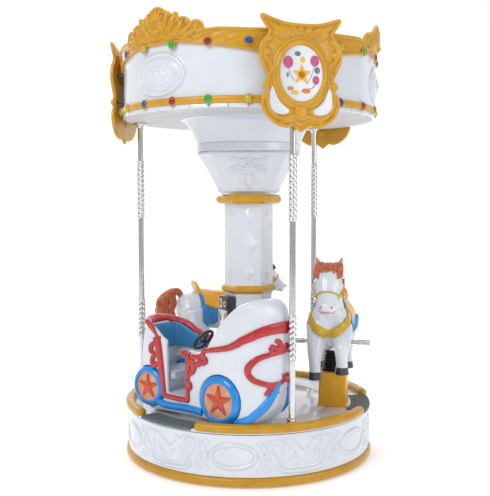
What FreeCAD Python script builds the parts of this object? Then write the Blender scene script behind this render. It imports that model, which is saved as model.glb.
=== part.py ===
"""A coin-operated roundabout for three small riders: one chariot and two galloping horses.

The origin is on the floor, on the upright axis. +Z is up and -Y is the front.
An azimuth is measured from the front, anticlockwise seen from above, in degrees.
Every repeated piece is drawn at azimuth 0 and then turned about the upright axis.
"""

import FreeCAD, Part
import math
import os

Vec = FreeCAD.Vector
UP = Vec(0, 0, 1)
ORIGIN = Vec(0, 0, 0)

# ---- driving dimensions, in millimetres and degrees -------------------------------------------

CHARIOT_AZIMUTH = -40
HORSE_AZIMUTHS = {"1": 80, "2": 200}
STATIONS = [CHARIOT_AZIMUTH] + list(HORSE_AZIMUTHS.values())
POLE_AZIMUTHS = [20, 140, 260]
THIRD = 120

BASE_R = 600
SKIRT_R = 588
SHELL = 6
SKIRT_BOTTOM, SKIRT_TOP = 46, 226
SKIRT_OVAL_PHASE = -5
GLAND_AZIMUTH = 205

HUB_PLATE_R = 250
PLATE = 8
ANCHOR_PCD = 1000
ANCHOR_HOLE_R = 7
ANCHOR_AZIMUTHS = [30 + 60 * i for i in range(6)]
POST_R = 30

GEAR_MODULE = 4.0
GEAR_TEETH = 80
PINION_TEETH = 18
GEAR_BACKLASH = 0.4
PRESSURE_ANGLE = math.radians(20)
PINION_AZIMUTH = 150
BEARING_R = 125.0
BEARING_FIT = 0.05
SHAFT_FIT = 0.05
GEAR_BOTTOM, GEAR_TOP = 101, 131

DECK_BOTTOM, DECK_TOP = 233, 245
DECK_R = 592
RIM_INNER_R, RIM_OUTER_R = 570, 602
RIM_BOTTOM, RIM_TOP = 231, 276
ENTRY_GAP = 33

CORE_R, CORE_WALL = 57, 6
COLUMN_R = 113
SHAFT_R = 119
LOWER_RING_R, LOWER_RING = 135, (777, 817)
UPPER_RING_R, UPPER_RING = 160, (1209, 1255)
CAPITAL = (1274, 1456)
COLLAR_R, COLLAR_TOP = 253, 1496

CANOPY_R = 600
CEILING_Z = 1609
BAND_BOTTOM, BAND_TOP = 1628, 1658
PANEL_TOP = 1850
UPPER_BAND_TOP = 1935
BOWL_TOP_R = 318
BOWL_WALL = 5
GEM_SPACING = 16
LOWER_GEM_Z, UPPER_GEM_Z = 1643, 1880
GEMS_PER_THIRD = 6

SHIELD_Y = 622
SHIELD_THICK = 16
PICTURE_HALF_WIDTH, PICTURE_HALF_HEIGHT, PICTURE_Z = 105, 122, 1747

POLE_RADIUS_OUT = 548
POLE_R = 14

HORSE_R = 410
PEDESTAL_R = 420
PEDESTAL_WIDTH, PEDESTAL_LENGTH, PEDESTAL_TOP = 131, 170, 403
ROD_R = 12.5
CRANK_Z = 300
CRANK_THROW = 45
CRANK_PIN_R = 6
BELLOWS_TOP = 505

CHARIOT_TURN = -36
TUB_OUTER, TUB_INNER = -470, -215
WHEEL_THICK = 45
DISC_SHARE = 0.72
REAR_WHEEL = (-230, 92, 364)
FRONT_WHEEL = (184, 109, 354)

COIN_BOX_AZIMUTH = -60
COLUMN_APOTHEM = COLUMN_R * math.cos(math.radians(30))


# ---- shape helpers ----------------------------------------------------------------------------


def turned(shape, azimuth):
    """A copy of shape turned about the upright axis."""
    copy = shape.copy()
    copy.rotate(ORIGIN, UP, azimuth)
    return copy


def repeated(shape, azimuths):
    """Separate copies of shape at several azimuths."""
    return Part.makeCompound([turned(shape, a) for a in azimuths])


def block(x, y, z):
    """A box given by its (low, high) limits along each axis."""
    return Part.makeBox(x[1] - x[0], y[1] - y[0], z[1] - z[0], Vec(x[0], y[0], z[0]))


def box_section(x, y, z, wall):
    """A rectangular tube along Y."""
    inside = block((x[0] + wall, x[1] - wall), (y[0] - 1, y[1] + 1), (z[0] + wall, z[1] - wall))
    return block(x, y, z).cut(inside)


def disc(radius, z, hole=0):
    """A flat disc or ring about the upright axis between the two heights in z."""
    shape = Part.makeCylinder(radius, z[1] - z[0], Vec(0, 0, z[0]))
    if hole:
        shape = shape.cut(Part.makeCylinder(hole, z[1] - z[0] + 2, Vec(0, 0, z[0] - 1)))
    return shape


def rod(radius, start, end):
    """A round bar between two points."""
    way = end - start
    return Part.makeCylinder(radius, way.Length, start, way)


def tube(radius, bore, start, end):
    """A round tube between two points."""
    return rod(radius, start, end).cut(rod(bore, start, end))


def taper(r_start, r_end, start, end):
    """A round bar that narrows between two points."""
    way = end - start
    return Part.makeCone(r_start, r_end, way.Length, start, way)


def polygon_face(points):
    return Part.Face(Part.makePolygon(points + points[:1]))


def spun(outline, start=0, sweep=360):
    """A (radius, height) outline swept about the upright axis from azimuth start."""
    face = polygon_face([Vec(0, -r, z) for r, z in outline])
    return turned(face.revolve(ORIGIN, UP, sweep), start)


def bullnose(inner, outer, z, start=0, sweep=360):
    """A ring, or part of one, whose outer edge is a half round."""
    half = (z[1] - z[0]) / 2
    low, high = Vec(0, -inner, z[0]), Vec(0, -inner, z[1])
    top, bottom = Vec(0, -outer + half, z[1]), Vec(0, -outer + half, z[0])
    edges = [
        Part.LineSegment(low, high).toShape(),
        Part.LineSegment(high, top).toShape(),
        Part.Arc(top, Vec(0, -outer, z[0] + half), bottom).toShape(),
        Part.LineSegment(bottom, low).toShape(),
    ]
    face = Part.Face(Part.Wire(edges))
    return turned(face.revolve(ORIGIN, UP, sweep), start)


def oval_bar(half_width, half_height, z, y):
    """An elliptical bar along Y, on the front centre line at height z."""
    long_first = half_width >= half_height
    ellipse = Part.Ellipse(ORIGIN, max(half_width, half_height), min(half_width, half_height))
    face = Part.Face(Part.Wire(ellipse.toShape()))
    if not long_first:
        face.rotate(ORIGIN, UP, 90)
    face.rotate(ORIGIN, Vec(1, 0, 0), 90)
    face.translate(Vec(0, y[0], z))
    return face.extrude(Vec(0, y[1] - y[0], 0))


def side_plate(points, y):
    """An outline of (x, z) points given a thickness along Y."""
    return polygon_face([Vec(x, y[0], z) for x, z in points]).extrude(Vec(0, y[1] - y[0], 0))


def plan_plate(points, z):
    """An outline of (x, y) points given a thickness along Z."""
    return polygon_face([Vec(x, y, z[0]) for x, y in points]).extrude(Vec(0, 0, z[1] - z[0]))


def six_sided(radius, z):
    """A six-sided prism with one flat to the front."""
    corners = [turned_point(radius, 30 + 60 * i, z[0]) for i in range(6)]
    return polygon_face(corners).extrude(Vec(0, 0, z[1] - z[0]))


def turned_point(radius, azimuth, z):
    a = math.radians(azimuth)
    return Vec(radius * math.sin(a), -radius * math.cos(a), z)


def polyhedron(corners, faces):
    """A solid from flat faces, each a tuple of corner numbers."""
    sides = [polygon_face([corners[i] for i in face]) for face in faces]
    solid = Part.Solid(Part.Shell(sides))
    if solid.Volume < 0:
        solid.reverse()
    return solid


def stud_diamond(half_width, low, middle, high, depth, face_y):
    """A four-sided pyramid on a face at y = -face_y, sunk a little into it."""
    sunk = face_y - 1
    corners = [
        Vec(-half_width, -sunk, middle),
        Vec(0, -sunk, low),
        Vec(half_width, -sunk, middle),
        Vec(0, -sunk, high),
        Vec(0, -face_y - depth, middle),
        Vec(0, -face_y + 8, middle),
    ]
    rim = [(0, 1), (1, 2), (2, 3), (3, 0)]
    return polyhedron(corners, [(a, b, 4) for a, b in rim] + [(b, a, 5) for a, b in rim])


def fused(shapes):
    return shapes[0].multiFuse(shapes[1:]) if len(shapes) > 1 else shapes[0]


def biggest_solid(shape):
    """Drops the slivers that a cut leaves beside the main solid."""
    return max(shape.Solids, key=lambda solid: solid.Volume)


def closed_loop(centre, across, along):
    """A smooth oval wire about centre, reaching the two given vectors."""
    steps = [2 * math.pi * i / 10 for i in range(10)]
    curve = Part.BSplineCurve()
    curve.interpolate(
        Points=[centre + across * math.cos(t) + along * math.sin(t) for t in steps],
        PeriodicFlag=True,
    )
    return Part.Wire(curve.toShape())


def lofted(wires):
    solid = Part.makeLoft(wires, True, False)
    if solid.Volume < 0:
        solid.reverse()
    return solid


# ---- fixed base -------------------------------------------------------------------------------


def ring_bars(ring, first_azimuth):
    """A ring made as twelve bars, welded end to end."""
    wedge = Part.makeCylinder(700, 2000, ORIGIN, UP, 30)
    sectors = [turned(wedge, first_azimuth - 90 + 30 * i) for i in range(12)]
    return [biggest_solid(ring.common(sector)) for sector in sectors]


def base_frame():
    """Hub plate with bearing drum and post, six beams, a rim ring and six anchored foot plates."""
    drum_r, drum_top, beam_end = 122, 98, 566
    hub = fused(
        [
            disc(HUB_PLATE_R, (0, PLATE)),
            disc(drum_r, (PLATE, drum_top), drum_r - 14),
            disc(drum_r, (drum_top - PLATE, drum_top), POST_R - 1),
            disc(POST_R, (PLATE, 200), POST_R - 5),
        ]
    )
    beam = box_section((-20, 20), (-beam_end, -drum_r + 4), (PLATE, 58), 4)
    beam = beam.cut(disc(drum_r, (0, drum_top)))
    beam_space = block((-20, 20), (-beam_end, -drum_r), (0, 58))
    ring = disc(575, (PLATE, 2 * PLATE), 530)
    ring = ring.cut(fused([turned(beam_space, 60 * i) for i in range(6)]))
    anchor_r = ANCHOR_PCD / 2
    foot = block((-40, 40), (-anchor_r - 65, -anchor_r + 40), (0, PLATE))
    foot = foot.cut(Part.makeCylinder(ANCHOR_HOLE_R, 3 * PLATE, Vec(0, -anchor_r, -PLATE)))
    beams = [turned(beam, 60 * i) for i in range(6)]
    feet = [turned(foot, a) for a in ANCHOR_AZIMUTHS]
    return Part.makeCompound([hub] + beams + feet + ring_bars(ring, 0))


def skirt_panels():
    """Six moulded panels with a raised oval on each."""
    wall = disc(SKIRT_R, (SKIRT_BOTTOM, SKIRT_TOP), SKIRT_R - SHELL)
    relief_band = disc(SKIRT_R + 6, (SKIRT_BOTTOM + 2, SKIRT_TOP - 2), SKIRT_R - 1)
    oval = oval_bar(78, 42, (SKIRT_BOTTOM + SKIRT_TOP) / 2, (-620, -560)).common(relief_band)
    gland_hole = turned(rod(10.5, Vec(0, -620, 90), Vec(0, -560, 90)), GLAND_AZIMUTH)
    wedge = Part.makeCylinder(700, 400, ORIGIN, UP, 59.9)
    panels = []
    for i in range(6):
        azimuth = SKIRT_OVAL_PHASE + 60 * i
        panel = wall.common(turned(wedge, azimuth - 90 - 29.95)).fuse(turned(oval, azimuth))
        panels.append(panel.cut(gland_hole))
    return Part.makeCompound(panels)


def cable_gland():
    """Screwed gland for the mains lead, low at the back."""
    nut = rod(14, Vec(0, -SKIRT_R - 9, 90), Vec(0, -SKIRT_R - 0.5, 90))
    body = rod(10.2, Vec(0, -SKIRT_R - 12, 90), Vec(0, -566, 90))
    gland = nut.fuse(body).cut(rod(4, Vec(0, -620, 90), Vec(0, -560, 90)))
    return turned(gland, GLAND_AZIMUTH)


def gearmotor():
    """Upright drive motor under the gear ring, with a bored output."""
    centre = turned_point(pinion_centre_distance(), PINION_AZIMUTH, 0)
    flange = Part.makeBox(96, 96, 10, centre + Vec(-48, -48, PLATE))
    body = Part.makeCylinder(42, 76, centre + Vec(0, 0, PLATE + 8))
    bore = Part.makeCylinder(10 + SHAFT_FIT, 40, centre + Vec(0, 0, 58))
    return flange.fuse(body).cut(bore)


def pinion_centre_distance():
    return GEAR_MODULE * (GEAR_TEETH + PINION_TEETH) / 2


def control_cabinet():
    """Motor controller box on the hub plate."""
    box = block((-60, 60), (-235, -155), (PLATE, 88))
    return turned(box.makeFillet(4, box.Edges), 210)


def slip_ring_stator():
    return disc(25, (200.0, 240.0), 8 + SHAFT_FIT)


def slip_ring_rotor():
    """Turning half of the slip ring, held in the column tube."""
    return disc(8, (206, 252)).fuse(disc(CORE_R - CORE_WALL, (252, 258)))


# ---- gears ------------------------------------------------------------------------------------


def involute(angle):
    return math.tan(angle) - angle


def gear_blank(teeth, z, first_tooth):
    """A spur gear with a tooth centred at the angle first_tooth, from +X."""
    pitch_r = GEAR_MODULE * teeth / 2
    base_r = pitch_r * math.cos(PRESSURE_ANGLE)
    tip_r, root_r = pitch_r + GEAR_MODULE, pitch_r - 1.25 * GEAR_MODULE
    half_tooth = (math.pi * GEAR_MODULE - GEAR_BACKLASH) / (4 * pitch_r)
    start_r = max(base_r, root_r) + 0.01
    radii = [start_r + (tip_r - start_r) * i / 3 for i in range(4)]
    flank = [(root_r, half_tooth + involute(PRESSURE_ANGLE))]
    for r in radii:
        lean = involute(PRESSURE_ANGLE) - involute(math.acos(base_r / r))
        flank.append((r, half_tooth + lean))
    tooth = [(r, -a) for r, a in flank] + [(r, a) for r, a in reversed(flank)]
    points = []
    for i in range(teeth):
        middle = math.radians(first_tooth) + 2 * math.pi * i / teeth
        for r, a in tooth:
            points.append(Vec(r * math.cos(middle + a), r * math.sin(middle + a), z[0]))
    return polygon_face(points).extrude(Vec(0, 0, z[1] - z[0]))


def slew_gear_ring():
    """Turning ring of the slewing bearing, toothed outside."""
    blank = gear_blank(GEAR_TEETH, (GEAR_BOTTOM, GEAR_TOP), PINION_AZIMUTH - 90)
    return blank.cut(disc(BEARING_R, (GEAR_BOTTOM - 1, GEAR_TOP + 1)))


def slew_inner_ring():
    return disc(BEARING_R - BEARING_FIT, (98, GEAR_TOP - 3), 90)


def drive_pinion():
    """Pinion on the gearmotor's output shaft."""
    centre = turned_point(pinion_centre_distance(), PINION_AZIMUTH, 0)
    facing = PINION_AZIMUTH - 90 + 180 + 180 / PINION_TEETH
    gear = gear_blank(PINION_TEETH, (GEAR_BOTTOM, GEAR_TOP), facing)
    shaft = Part.makeCylinder(10, GEAR_TOP - 60, Vec(0, 0, 60))
    pinion = gear.fuse(shaft)
    pinion.translate(centre)
    return pinion


# ---- turning platform -------------------------------------------------------------------------


def platform_frame():
    """Hub drum on the gear ring, six arms and a rim bar."""
    drum_r, rim_r, arm_z = 115, 566, (183, DECK_BOTTOM)
    hub = fused(
        [
            disc(160, (GEAR_TOP, 145), 62),
            disc(drum_r, (145, DECK_BOTTOM), drum_r - 10),
            disc(drum_r, (DECK_BOTTOM - 10, DECK_BOTTOM), 62),
        ]
    )
    arm = box_section((-20, 20), (-rim_r, -drum_r + 4), arm_z, 4)
    arm = arm.common(disc(rim_r - 6, arm_z, drum_r))
    arms = [turned(arm, 50 + 60 * i) for i in range(6)]
    return Part.makeCompound([hub] + arms + ring_bars(disc(rim_r, arm_z, rim_r - 6), 50))


def pedestal_box(margin, z):
    """A box of the pedestal's plan, made smaller all round by margin."""
    half_length = PEDESTAL_LENGTH / 2 - margin
    half_width = PEDESTAL_WIDTH / 2 - margin
    return block(
        (-half_length, half_length), (-PEDESTAL_R - half_width, -PEDESTAL_R + half_width), z
    )


def deck():
    """Round floor with an opening under each horse's pedestal."""
    floor = disc(DECK_R, (DECK_BOTTOM, DECK_TOP), 112)
    opening = pedestal_box(SHELL, (DECK_BOTTOM - 5, DECK_TOP + 5))
    return floor.cut(repeated(opening, HORSE_AZIMUTHS.values()))


def rim_segments():
    """Three half-round rim bars with an entry gap at each rider."""
    sweep = THIRD - ENTRY_GAP
    edge = disc(DECK_R, (RIM_BOTTOM - 1, DECK_TOP))
    bar = bullnose(RIM_INNER_R, RIM_OUTER_R, (RIM_BOTTOM, RIM_TOP), ENTRY_GAP / 2, sweep)
    return repeated(bar.cut(edge), STATIONS)


def tread_pads():
    """Ribbed rubber mats in the entry gaps."""
    half = ENTRY_GAP / 2 - 1.5
    parts = [spun([(502, 245), (590, 245), (590, 248), (502, 248)], -half, 2 * half)]
    for i in range(7):
        r = 508 + 12 * i
        parts.append(spun([(r, 247.5), (r + 6, 247.5), (r + 6, 251), (r, 251)], -half, 2 * half))
    return repeated(fused(parts), STATIONS)


# ---- column -----------------------------------------------------------------------------------


def column_core():
    """Steel tube from the platform hub to the canopy, with a bolting flange."""
    mast = disc(CORE_R, (DECK_BOTTOM, 1664), CORE_R - CORE_WALL)
    return mast.fuse(disc(110, (DECK_BOTTOM, 243), CORE_R - 1))


def hollow_six(radius, z, wall):
    return six_sided(radius, z).cut(six_sided(radius - wall, (z[0] - 1, z[1] + 1)))


def column_base_shell():
    return hollow_six(COLUMN_R, (DECK_TOP, LOWER_RING[0]), SHELL)


def bevelled_ring(radius, z):
    """A six-sided ring whose rim comes to a blunt edge."""
    bevel = 10
    low, middle, high = z[0] + bevel, (z[0] + z[1]) / 2, z[1] - bevel
    wires = []
    for r, height in [(radius - bevel, z[0]), (radius, low), (radius, high), (radius - bevel, z[1])]:
        corners = [turned_point(r, 30 + 60 * i, height) for i in range(6)]
        wires.append(Part.makePolygon(corners + corners[:1]))
    ring = Part.makeLoft(wires, True, True)
    return ring.cut(disc(COLUMN_APOTHEM - 12, (z[0] - 1, z[1] + 1)))


def column_shaft():
    """Six-sided shaft with a large raised diamond between two small ones on each face."""
    low, high = LOWER_RING[1], UPPER_RING[0]
    face_y = SHAFT_R * math.cos(math.radians(30))
    middle = (low + high) / 2 - 8
    studs = [stud_diamond(40, middle - 78, middle, middle + 78, 16, face_y)]
    for at in (low + 52, high - 52):
        studs.append(stud_diamond(30, at - 44, at, at + 44, 11, face_y))
    parts = [hollow_six(SHAFT_R, (low, high), SHELL)]
    parts += [turned(stud, 60 * i) for stud in studs for i in range(6)]
    return fused(parts).cut(six_sided(SHAFT_R - SHELL, (low, high)))


def three_sided_wire(half_width, apothem, z):
    """A triangle outline with cut corners: wide faces to the front and at 120 degrees each way."""
    corners = []
    for i in range(3):
        for side in (-1, 1):
            p = Vec(side * half_width, -apothem, z)
            a = math.radians(THIRD * i)
            corners.append(
                Vec(
                    p.x * math.cos(a) - p.y * math.sin(a),
                    p.x * math.sin(a) + p.y * math.cos(a),
                    z,
                )
            )
    return Part.makePolygon(corners + corners[:1])


def capital():
    """Flaring head of the column, on a short neck."""
    low, high = CAPITAL
    neck = Part.makeLoft(
        [three_sided_wire(108, 96, UPPER_RING[1]), three_sided_wire(119, 105, low)], True, True
    )
    head = Part.makeLoft(
        [three_sided_wire(119, 105, low), three_sided_wire(178, 173, high - 16)], True, True
    )
    cap = Part.makeLoft(
        [three_sided_wire(186, 176, high - 16), three_sided_wire(186, 176, high)], True, True
    )
    wall = SHELL + 2
    inside = Part.makeLoft(
        [
            three_sided_wire(108 - wall, 96 - wall, UPPER_RING[1] - 1),
            three_sided_wire(119 - wall, 105 - wall, low),
            three_sided_wire(178 - wall, 173 - wall, high - 12),
            three_sided_wire(178 - wall, 173 - wall, high + 1),
        ],
        True,
        True,
    )
    return fused([neck, head, cap]).cut(inside)


# ---- canopy -----------------------------------------------------------------------------------


def bowl_outline():
    """Outer (radius, height) points of the bowl, from its foot to the ceiling."""
    return [(253, 1496), (262, 1520), (276, 1550), (296, 1582), (BOWL_TOP_R, CEILING_Z)]


def canopy_ceiling():
    """Collar and bowl in staves, then the flat ceiling and its upturned lip, bonded edge to edge."""
    outer = bowl_outline()
    inner = [(r - BOWL_WALL, z + 3) for r, z in reversed(outer)]
    top = CEILING_Z + SHELL
    rim = [(BOWL_TOP_R, top), (BOWL_TOP_R - 2, top)]
    collar = [(COLLAR_R - 16, 1496), (COLLAR_R - 16, CAPITAL[1]), (COLLAR_R, CAPITAL[1])]
    bowl = ring_bars(spun(outer + rim + inner + collar), 0)
    ceiling = ring_bars(disc(CANOPY_R + 4, (CEILING_Z, top), BOWL_TOP_R), 0)
    lip = ring_bars(disc(CANOPY_R + 4, (top, BAND_BOTTOM), CANOPY_R - SHELL), 0)
    return Part.makeCompound(bowl + ceiling + lip)


def canopy_frame():
    """Hub, six ribs and a rim bar inside the canopy."""
    hub_r, rim_r, z = 120, 594, (1624, 1664)
    hub = disc(hub_r, z, hub_r - 8).fuse(disc(hub_r, (z[1] - 8, z[1]), CORE_R))
    rib = box_section((-15, 15), (-rim_r, -hub_r + 4), z, 3)
    rib = rib.common(disc(rim_r - 6, z, hub_r))
    ribs = [turned(rib, 50 + 60 * i) for i in range(6)]
    return Part.makeCompound([hub] + ribs + ring_bars(disc(rim_r, z, rim_r - 6), 50))


def canopy_roof():
    """Low conical cover, below the crests."""
    return spun([(594, 1856), (0, 1900), (0, 1906), (594, 1862)])


def canopy_panels():
    """Three curved white panels, each with an oval medallion in the middle."""
    inner = CANOPY_R - SHELL
    wall = [(inner, BAND_TOP), (CANOPY_R, BAND_TOP), (CANOPY_R, PANEL_TOP), (inner, PANEL_TOP)]
    panel = spun(wall, -59.9, 119.8)
    rim = disc(CANOPY_R + 20, (1600, 1900), CANOPY_R - 1)
    dome = disc(CANOPY_R + 30, (1600, 1900), CANOPY_R - 1)
    medallion = oval_bar(128, 88, 1760, (-640, -560)).common(rim)
    medallion = medallion.fuse(oval_bar(96, 66, 1760, (-640, -560)).common(dome))
    return repeated(panel.fuse(medallion), STATIONS)


def lower_band():
    inner = CANOPY_R - SHELL
    return bullnose(inner, CANOPY_R + 12, (BAND_BOTTOM, BAND_TOP))


def upper_band():
    """Scrolled cornice below the crests."""
    r = CANOPY_R
    outline = [
        (r - 6, PANEL_TOP),
        (r + 8, PANEL_TOP),
        (r + 14, PANEL_TOP + 20),
        (r + 8, PANEL_TOP + 40),
        (r + 8, UPPER_BAND_TOP - 20),
        (r + 14, UPPER_BAND_TOP - 8),
        (r + 6, UPPER_BAND_TOP),
        (r - 6, UPPER_BAND_TOP),
    ]
    return spun(outline)


def crests():
    """Shell-shaped crest over each medallion: a tall middle lobe and three leaves each side."""
    lobes = [(0, 1980, 70), (7, 1956, 54), (13, 1942, 48), (19, 1934, 36)]
    shapes = []
    for azimuth, z, r in lobes:
        for side in (-1, 1):
            shapes.append(turned(rod(r, Vec(0, -640, z), Vec(0, -560, z)), side * azimuth))
    skin = disc(CANOPY_R + 16, (UPPER_BAND_TOP, 2100), CANOPY_R - 4)
    return repeated(fused(shapes).common(skin), STATIONS)


def gem_lamps():
    """Faceted lamps in two rows, one on each band."""
    gems = []
    rows = ((LOWER_GEM_Z, CANOPY_R + 12, CANOPY_R + 21, 14), (UPPER_GEM_Z, CANOPY_R + 4, CANOPY_R + 22, 13))
    for height, r_back, r_front, size in rows:
        gem = taper(size, 0.6 * size, Vec(0, -r_back, height), Vec(0, -r_front, height))
        gem = gem.cut(upper_band())
        for station in STATIONS:
            for i in range(GEMS_PER_THIRD):
                gems.append(turned(gem, station + GEM_SPACING * (i - 2.5)))
    return Part.makeCompound(gems)


def shield_outline():
    """Right-hand half of a shield, from the top dip down to the bottom point."""
    return [
        (0, 1954),
        (70, 1958),
        (125, 1976),
        (176, 1998),
        (168, 1958),
        (141, 1912),
        (158, 1880),
        (186, 1838),
        (183, 1800),
        (150, 1742),
        (150, 1715),
        (160, 1696),
        (150, 1676),
        (174, 1650),
        (172, 1606),
        (140, 1560),
        (88, 1530),
        (40, 1534),
        (0, 1510),
    ]


def shields():
    """Three scrolled shields on stand-offs, each open in the middle for its picture."""
    right = shield_outline()
    left = [(-x, z) for x, z in reversed(right[1:-1])]
    back, front = -SHIELD_Y, -SHIELD_Y - SHIELD_THICK
    plate = side_plate(right + left, (front, back))
    opening = oval_bar(
        PICTURE_HALF_WIDTH, PICTURE_HALF_HEIGHT, PICTURE_Z, (front - 5, back + 5)
    )
    standoffs = []
    for x in (-128, 128):
        for z in (1700, 1822):
            standoffs.append(rod(8, Vec(x, -560, z), Vec(x, back - 1, z)))
    posts = fused(standoffs).cut(disc(CANOPY_R, (1600, 1900)))
    return repeated(plate.cut(opening).fuse(posts), POLE_AZIMUTHS)


def shield_pictures():
    """Oval picture boards in the shields."""
    board = oval_bar(
        PICTURE_HALF_WIDTH - 0.3, PICTURE_HALF_HEIGHT - 0.3, PICTURE_Z, (-SHIELD_Y - 9, -SHIELD_Y - 3)
    )
    return repeated(board, POLE_AZIMUTHS)


# ---- poles ------------------------------------------------------------------------------------


def poles():
    return repeated(
        rod(POLE_R, Vec(0, -POLE_RADIUS_OUT, DECK_TOP), Vec(0, -POLE_RADIUS_OUT, CEILING_Z)),
        POLE_AZIMUTHS,
    )


def pole_fittings():
    """Foot socket, two ornamental sleeves and a ceiling flange on each pole."""
    y = -POLE_RADIUS_OUT
    pieces = []
    for r, low, high in [
        (20, DECK_TOP, 285),
        (17.5, 540, 727),
        (17.5, 1142, 1417),
        (34, CEILING_Z - 10, CEILING_Z),
    ]:
        pieces.append(tube(r, POLE_R, Vec(0, y, low), Vec(0, y, high)))
    return repeated(Part.makeCompound(pieces), POLE_AZIMUTHS)


# ---- horse lift, drawn at azimuth 0 -----------------------------------------------------------


def pedestal():
    """Hollow box under a horse, with a hole for the guide bush."""
    shell = pedestal_box(0, (DECK_TOP, PEDESTAL_TOP)).cut(
        pedestal_box(SHELL, (DECK_TOP - 1, PEDESTAL_TOP - SHELL))
    )
    return shell.cut(rod(20, Vec(0, -HORSE_R, 390), Vec(0, -HORSE_R, 410)))


def guide_bush():
    return tube(20, ROD_R + SHAFT_FIT, Vec(0, -HORSE_R, 380), Vec(0, -HORSE_R, 408))


def lift_gearmotor():
    """Flat gearmotor inside the pedestal, bolted to its outer wall."""
    case = block((-45, 45), (-479.5, -451), (255, 345))
    case = case.makeFillet(5, case.Edges)
    return case.cut(rod(CRANK_PIN_R + SHAFT_FIT, Vec(0, -472, CRANK_Z), Vec(0, -440, CRANK_Z)))


def crank():
    """Crank disc, its shaft and its pin. The pin stops 1 mm short of the yoke."""
    wheel = rod(53, Vec(0, -449, CRANK_Z), Vec(0, -441, CRANK_Z))
    shaft = rod(CRANK_PIN_R, Vec(0, -470, CRANK_Z), Vec(0, -445, CRANK_Z))
    pin = rod(CRANK_PIN_R, Vec(CRANK_THROW, -445, CRANK_Z), Vec(CRANK_THROW, -430, CRANK_Z))
    return fused([wheel, shaft, pin])


def lift_rod():
    """Sliding rod with the slotted yoke at its foot and a flange under the horse."""
    y = -HORSE_R
    mast = rod(ROD_R, Vec(0, y, 285), Vec(0, y, 575))
    flange = rod(36, Vec(0, y, BELLOWS_TOP), Vec(0, y, BELLOWS_TOP + 8))
    yoke = block((-62, 62), (-429, -423), (285, 315))
    slot = block((-52, 52), (-440, -420), (293.5, 306.5))
    link = block((-10, 10), (-424, y), (285, 292))
    neck = block((-10, 10), (-424, y), (308, 330))
    return fused([mast, flange, yoke.cut(slot), link, neck])


def bellows():
    """Tapered rubber gaiter round the rod, with a clear bore."""
    folds = 6
    low, high = PEDESTAL_TOP + 0.3, BELLOWS_TOP - 0.3
    outline = [(23, high), (23, low)]
    for i in range(folds):
        share = i / folds
        peak = 50 - 15 * share
        z = low + (high - low) * share
        outline += [(peak - 8, z), (peak, z + (high - low) / folds / 2)]
    outline.append((28, high))
    gaiter = spun(outline)
    gaiter.translate(Vec(0, -HORSE_R, 0))
    return gaiter


# ---- horse, drawn at azimuth 0 and facing -X --------------------------------------------------


def horse_point(forward, side, z):
    return Vec(-forward, -HORSE_R + side, z)


def cross_section(forward, z, half_side, half_height, lean=0):
    """An oval across the horse. A lean of 0 stands it upright, and 90 lays it flat."""
    a = math.radians(lean)
    along = Vec(math.sin(a), 0, math.cos(a)) * half_height
    return closed_loop(horse_point(forward, 0, z), Vec(0, half_side, 0), along)


def horse_torso(grow=0):
    rows = [
        (-222, 655, 42, 52),
        (-185, 650, 84, 88),
        (-110, 640, 98, 102),
        (0, 630, 94, 100),
        (110, 640, 98, 108),
        (180, 662, 84, 98),
        (218, 690, 50, 66),
    ]
    return lofted([cross_section(f, z, s + grow, h + grow) for f, z, s, h in rows])


def leg(hip, knee, hoof):
    """One leg: tapered thigh and shank with a round knee and a hoof."""
    top, middle, low = horse_point(*hip), horse_point(*knee), horse_point(*hoof)
    return fused(
        [
            Part.makeSphere(34, top),
            taper(34, 20, top, middle),
            Part.makeSphere(21, middle),
            taper(18, 14, middle, low),
            taper(17, 24, low + Vec(0, 0, 10), low - Vec(0, 0, 22)),
        ]
    )


def horse_body():
    """Torso, neck, head, ears and legs of a galloping horse, with a hollow trunk."""
    neck = lofted(
        [
            cross_section(150, 690, 62, 84, 70),
            cross_section(205, 780, 48, 64, 62),
            cross_section(240, 870, 40, 50, 50),
        ]
    )
    head = lofted(
        [
            cross_section(190, 905, 30, 34, -40),
            cross_section(225, 878, 42, 52, -40),
            cross_section(270, 822, 40, 44, -40),
            cross_section(325, 750, 32, 34, -40),
            cross_section(350, 716, 24, 24, -40),
        ]
    )
    parts = [horse_torso(), neck, head]
    for side in (-34, 34):
        parts.append(taper(15, 3, horse_point(205, side * 0.9, 895), horse_point(205, side, 958)))
    parts.append(leg((150, -58, 600), (205, -62, 500), (222, -62, 390)))
    parts.append(leg((150, 58, 600), (240, 62, 520), (190, 62, 412)))
    parts.append(leg((-165, -58, 610), (-180, -62, 500), (-238, -62, 395)))
    parts.append(leg((-165, 58, 610), (-150, 62, 505), (-208, 62, 392)))
    return fused(parts).cut(horse_torso(-SHELL))


def footrest():
    """Cross bar under the horse with a grip on each end."""
    start, end = horse_point(52, -185, 552), horse_point(52, 185, 552)
    bar = rod(8, start, end)
    grips = []
    for side in (-1, 1):
        grips.append(rod(12, horse_point(52, 125 * side, 552), horse_point(52, 185 * side, 552)))
    return fused([bar] + grips)


def saddle(body):
    """Blanket and raised seat over the horse's back."""
    cover = horse_torso(9).common(block((-70, 130), (-600, -200), (615, 900)))
    pommel = taper(34, 26, horse_point(62, 0, 700), horse_point(72, 0, 790))
    cantle = lofted([cross_section(-100, 730, 66, 26, 60), cross_section(-128, 786, 50, 10, 60)])
    return fused([cover, pommel, cantle]).cut(body)


def strand(knots):
    """A thick strand through (forward, height, radius) knots on the horse's middle plane."""
    parts = []
    for (f0, z0, r0), (f1, z1, r1) in zip(knots, knots[1:]):
        parts.append(taper(r0, r1, horse_point(f0, 0, z0), horse_point(f1, 0, z1)))
    for f, z, r in knots[1:]:
        parts.append(Part.makeSphere(r, horse_point(f, 0, z)))
    return fused(parts)


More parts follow.
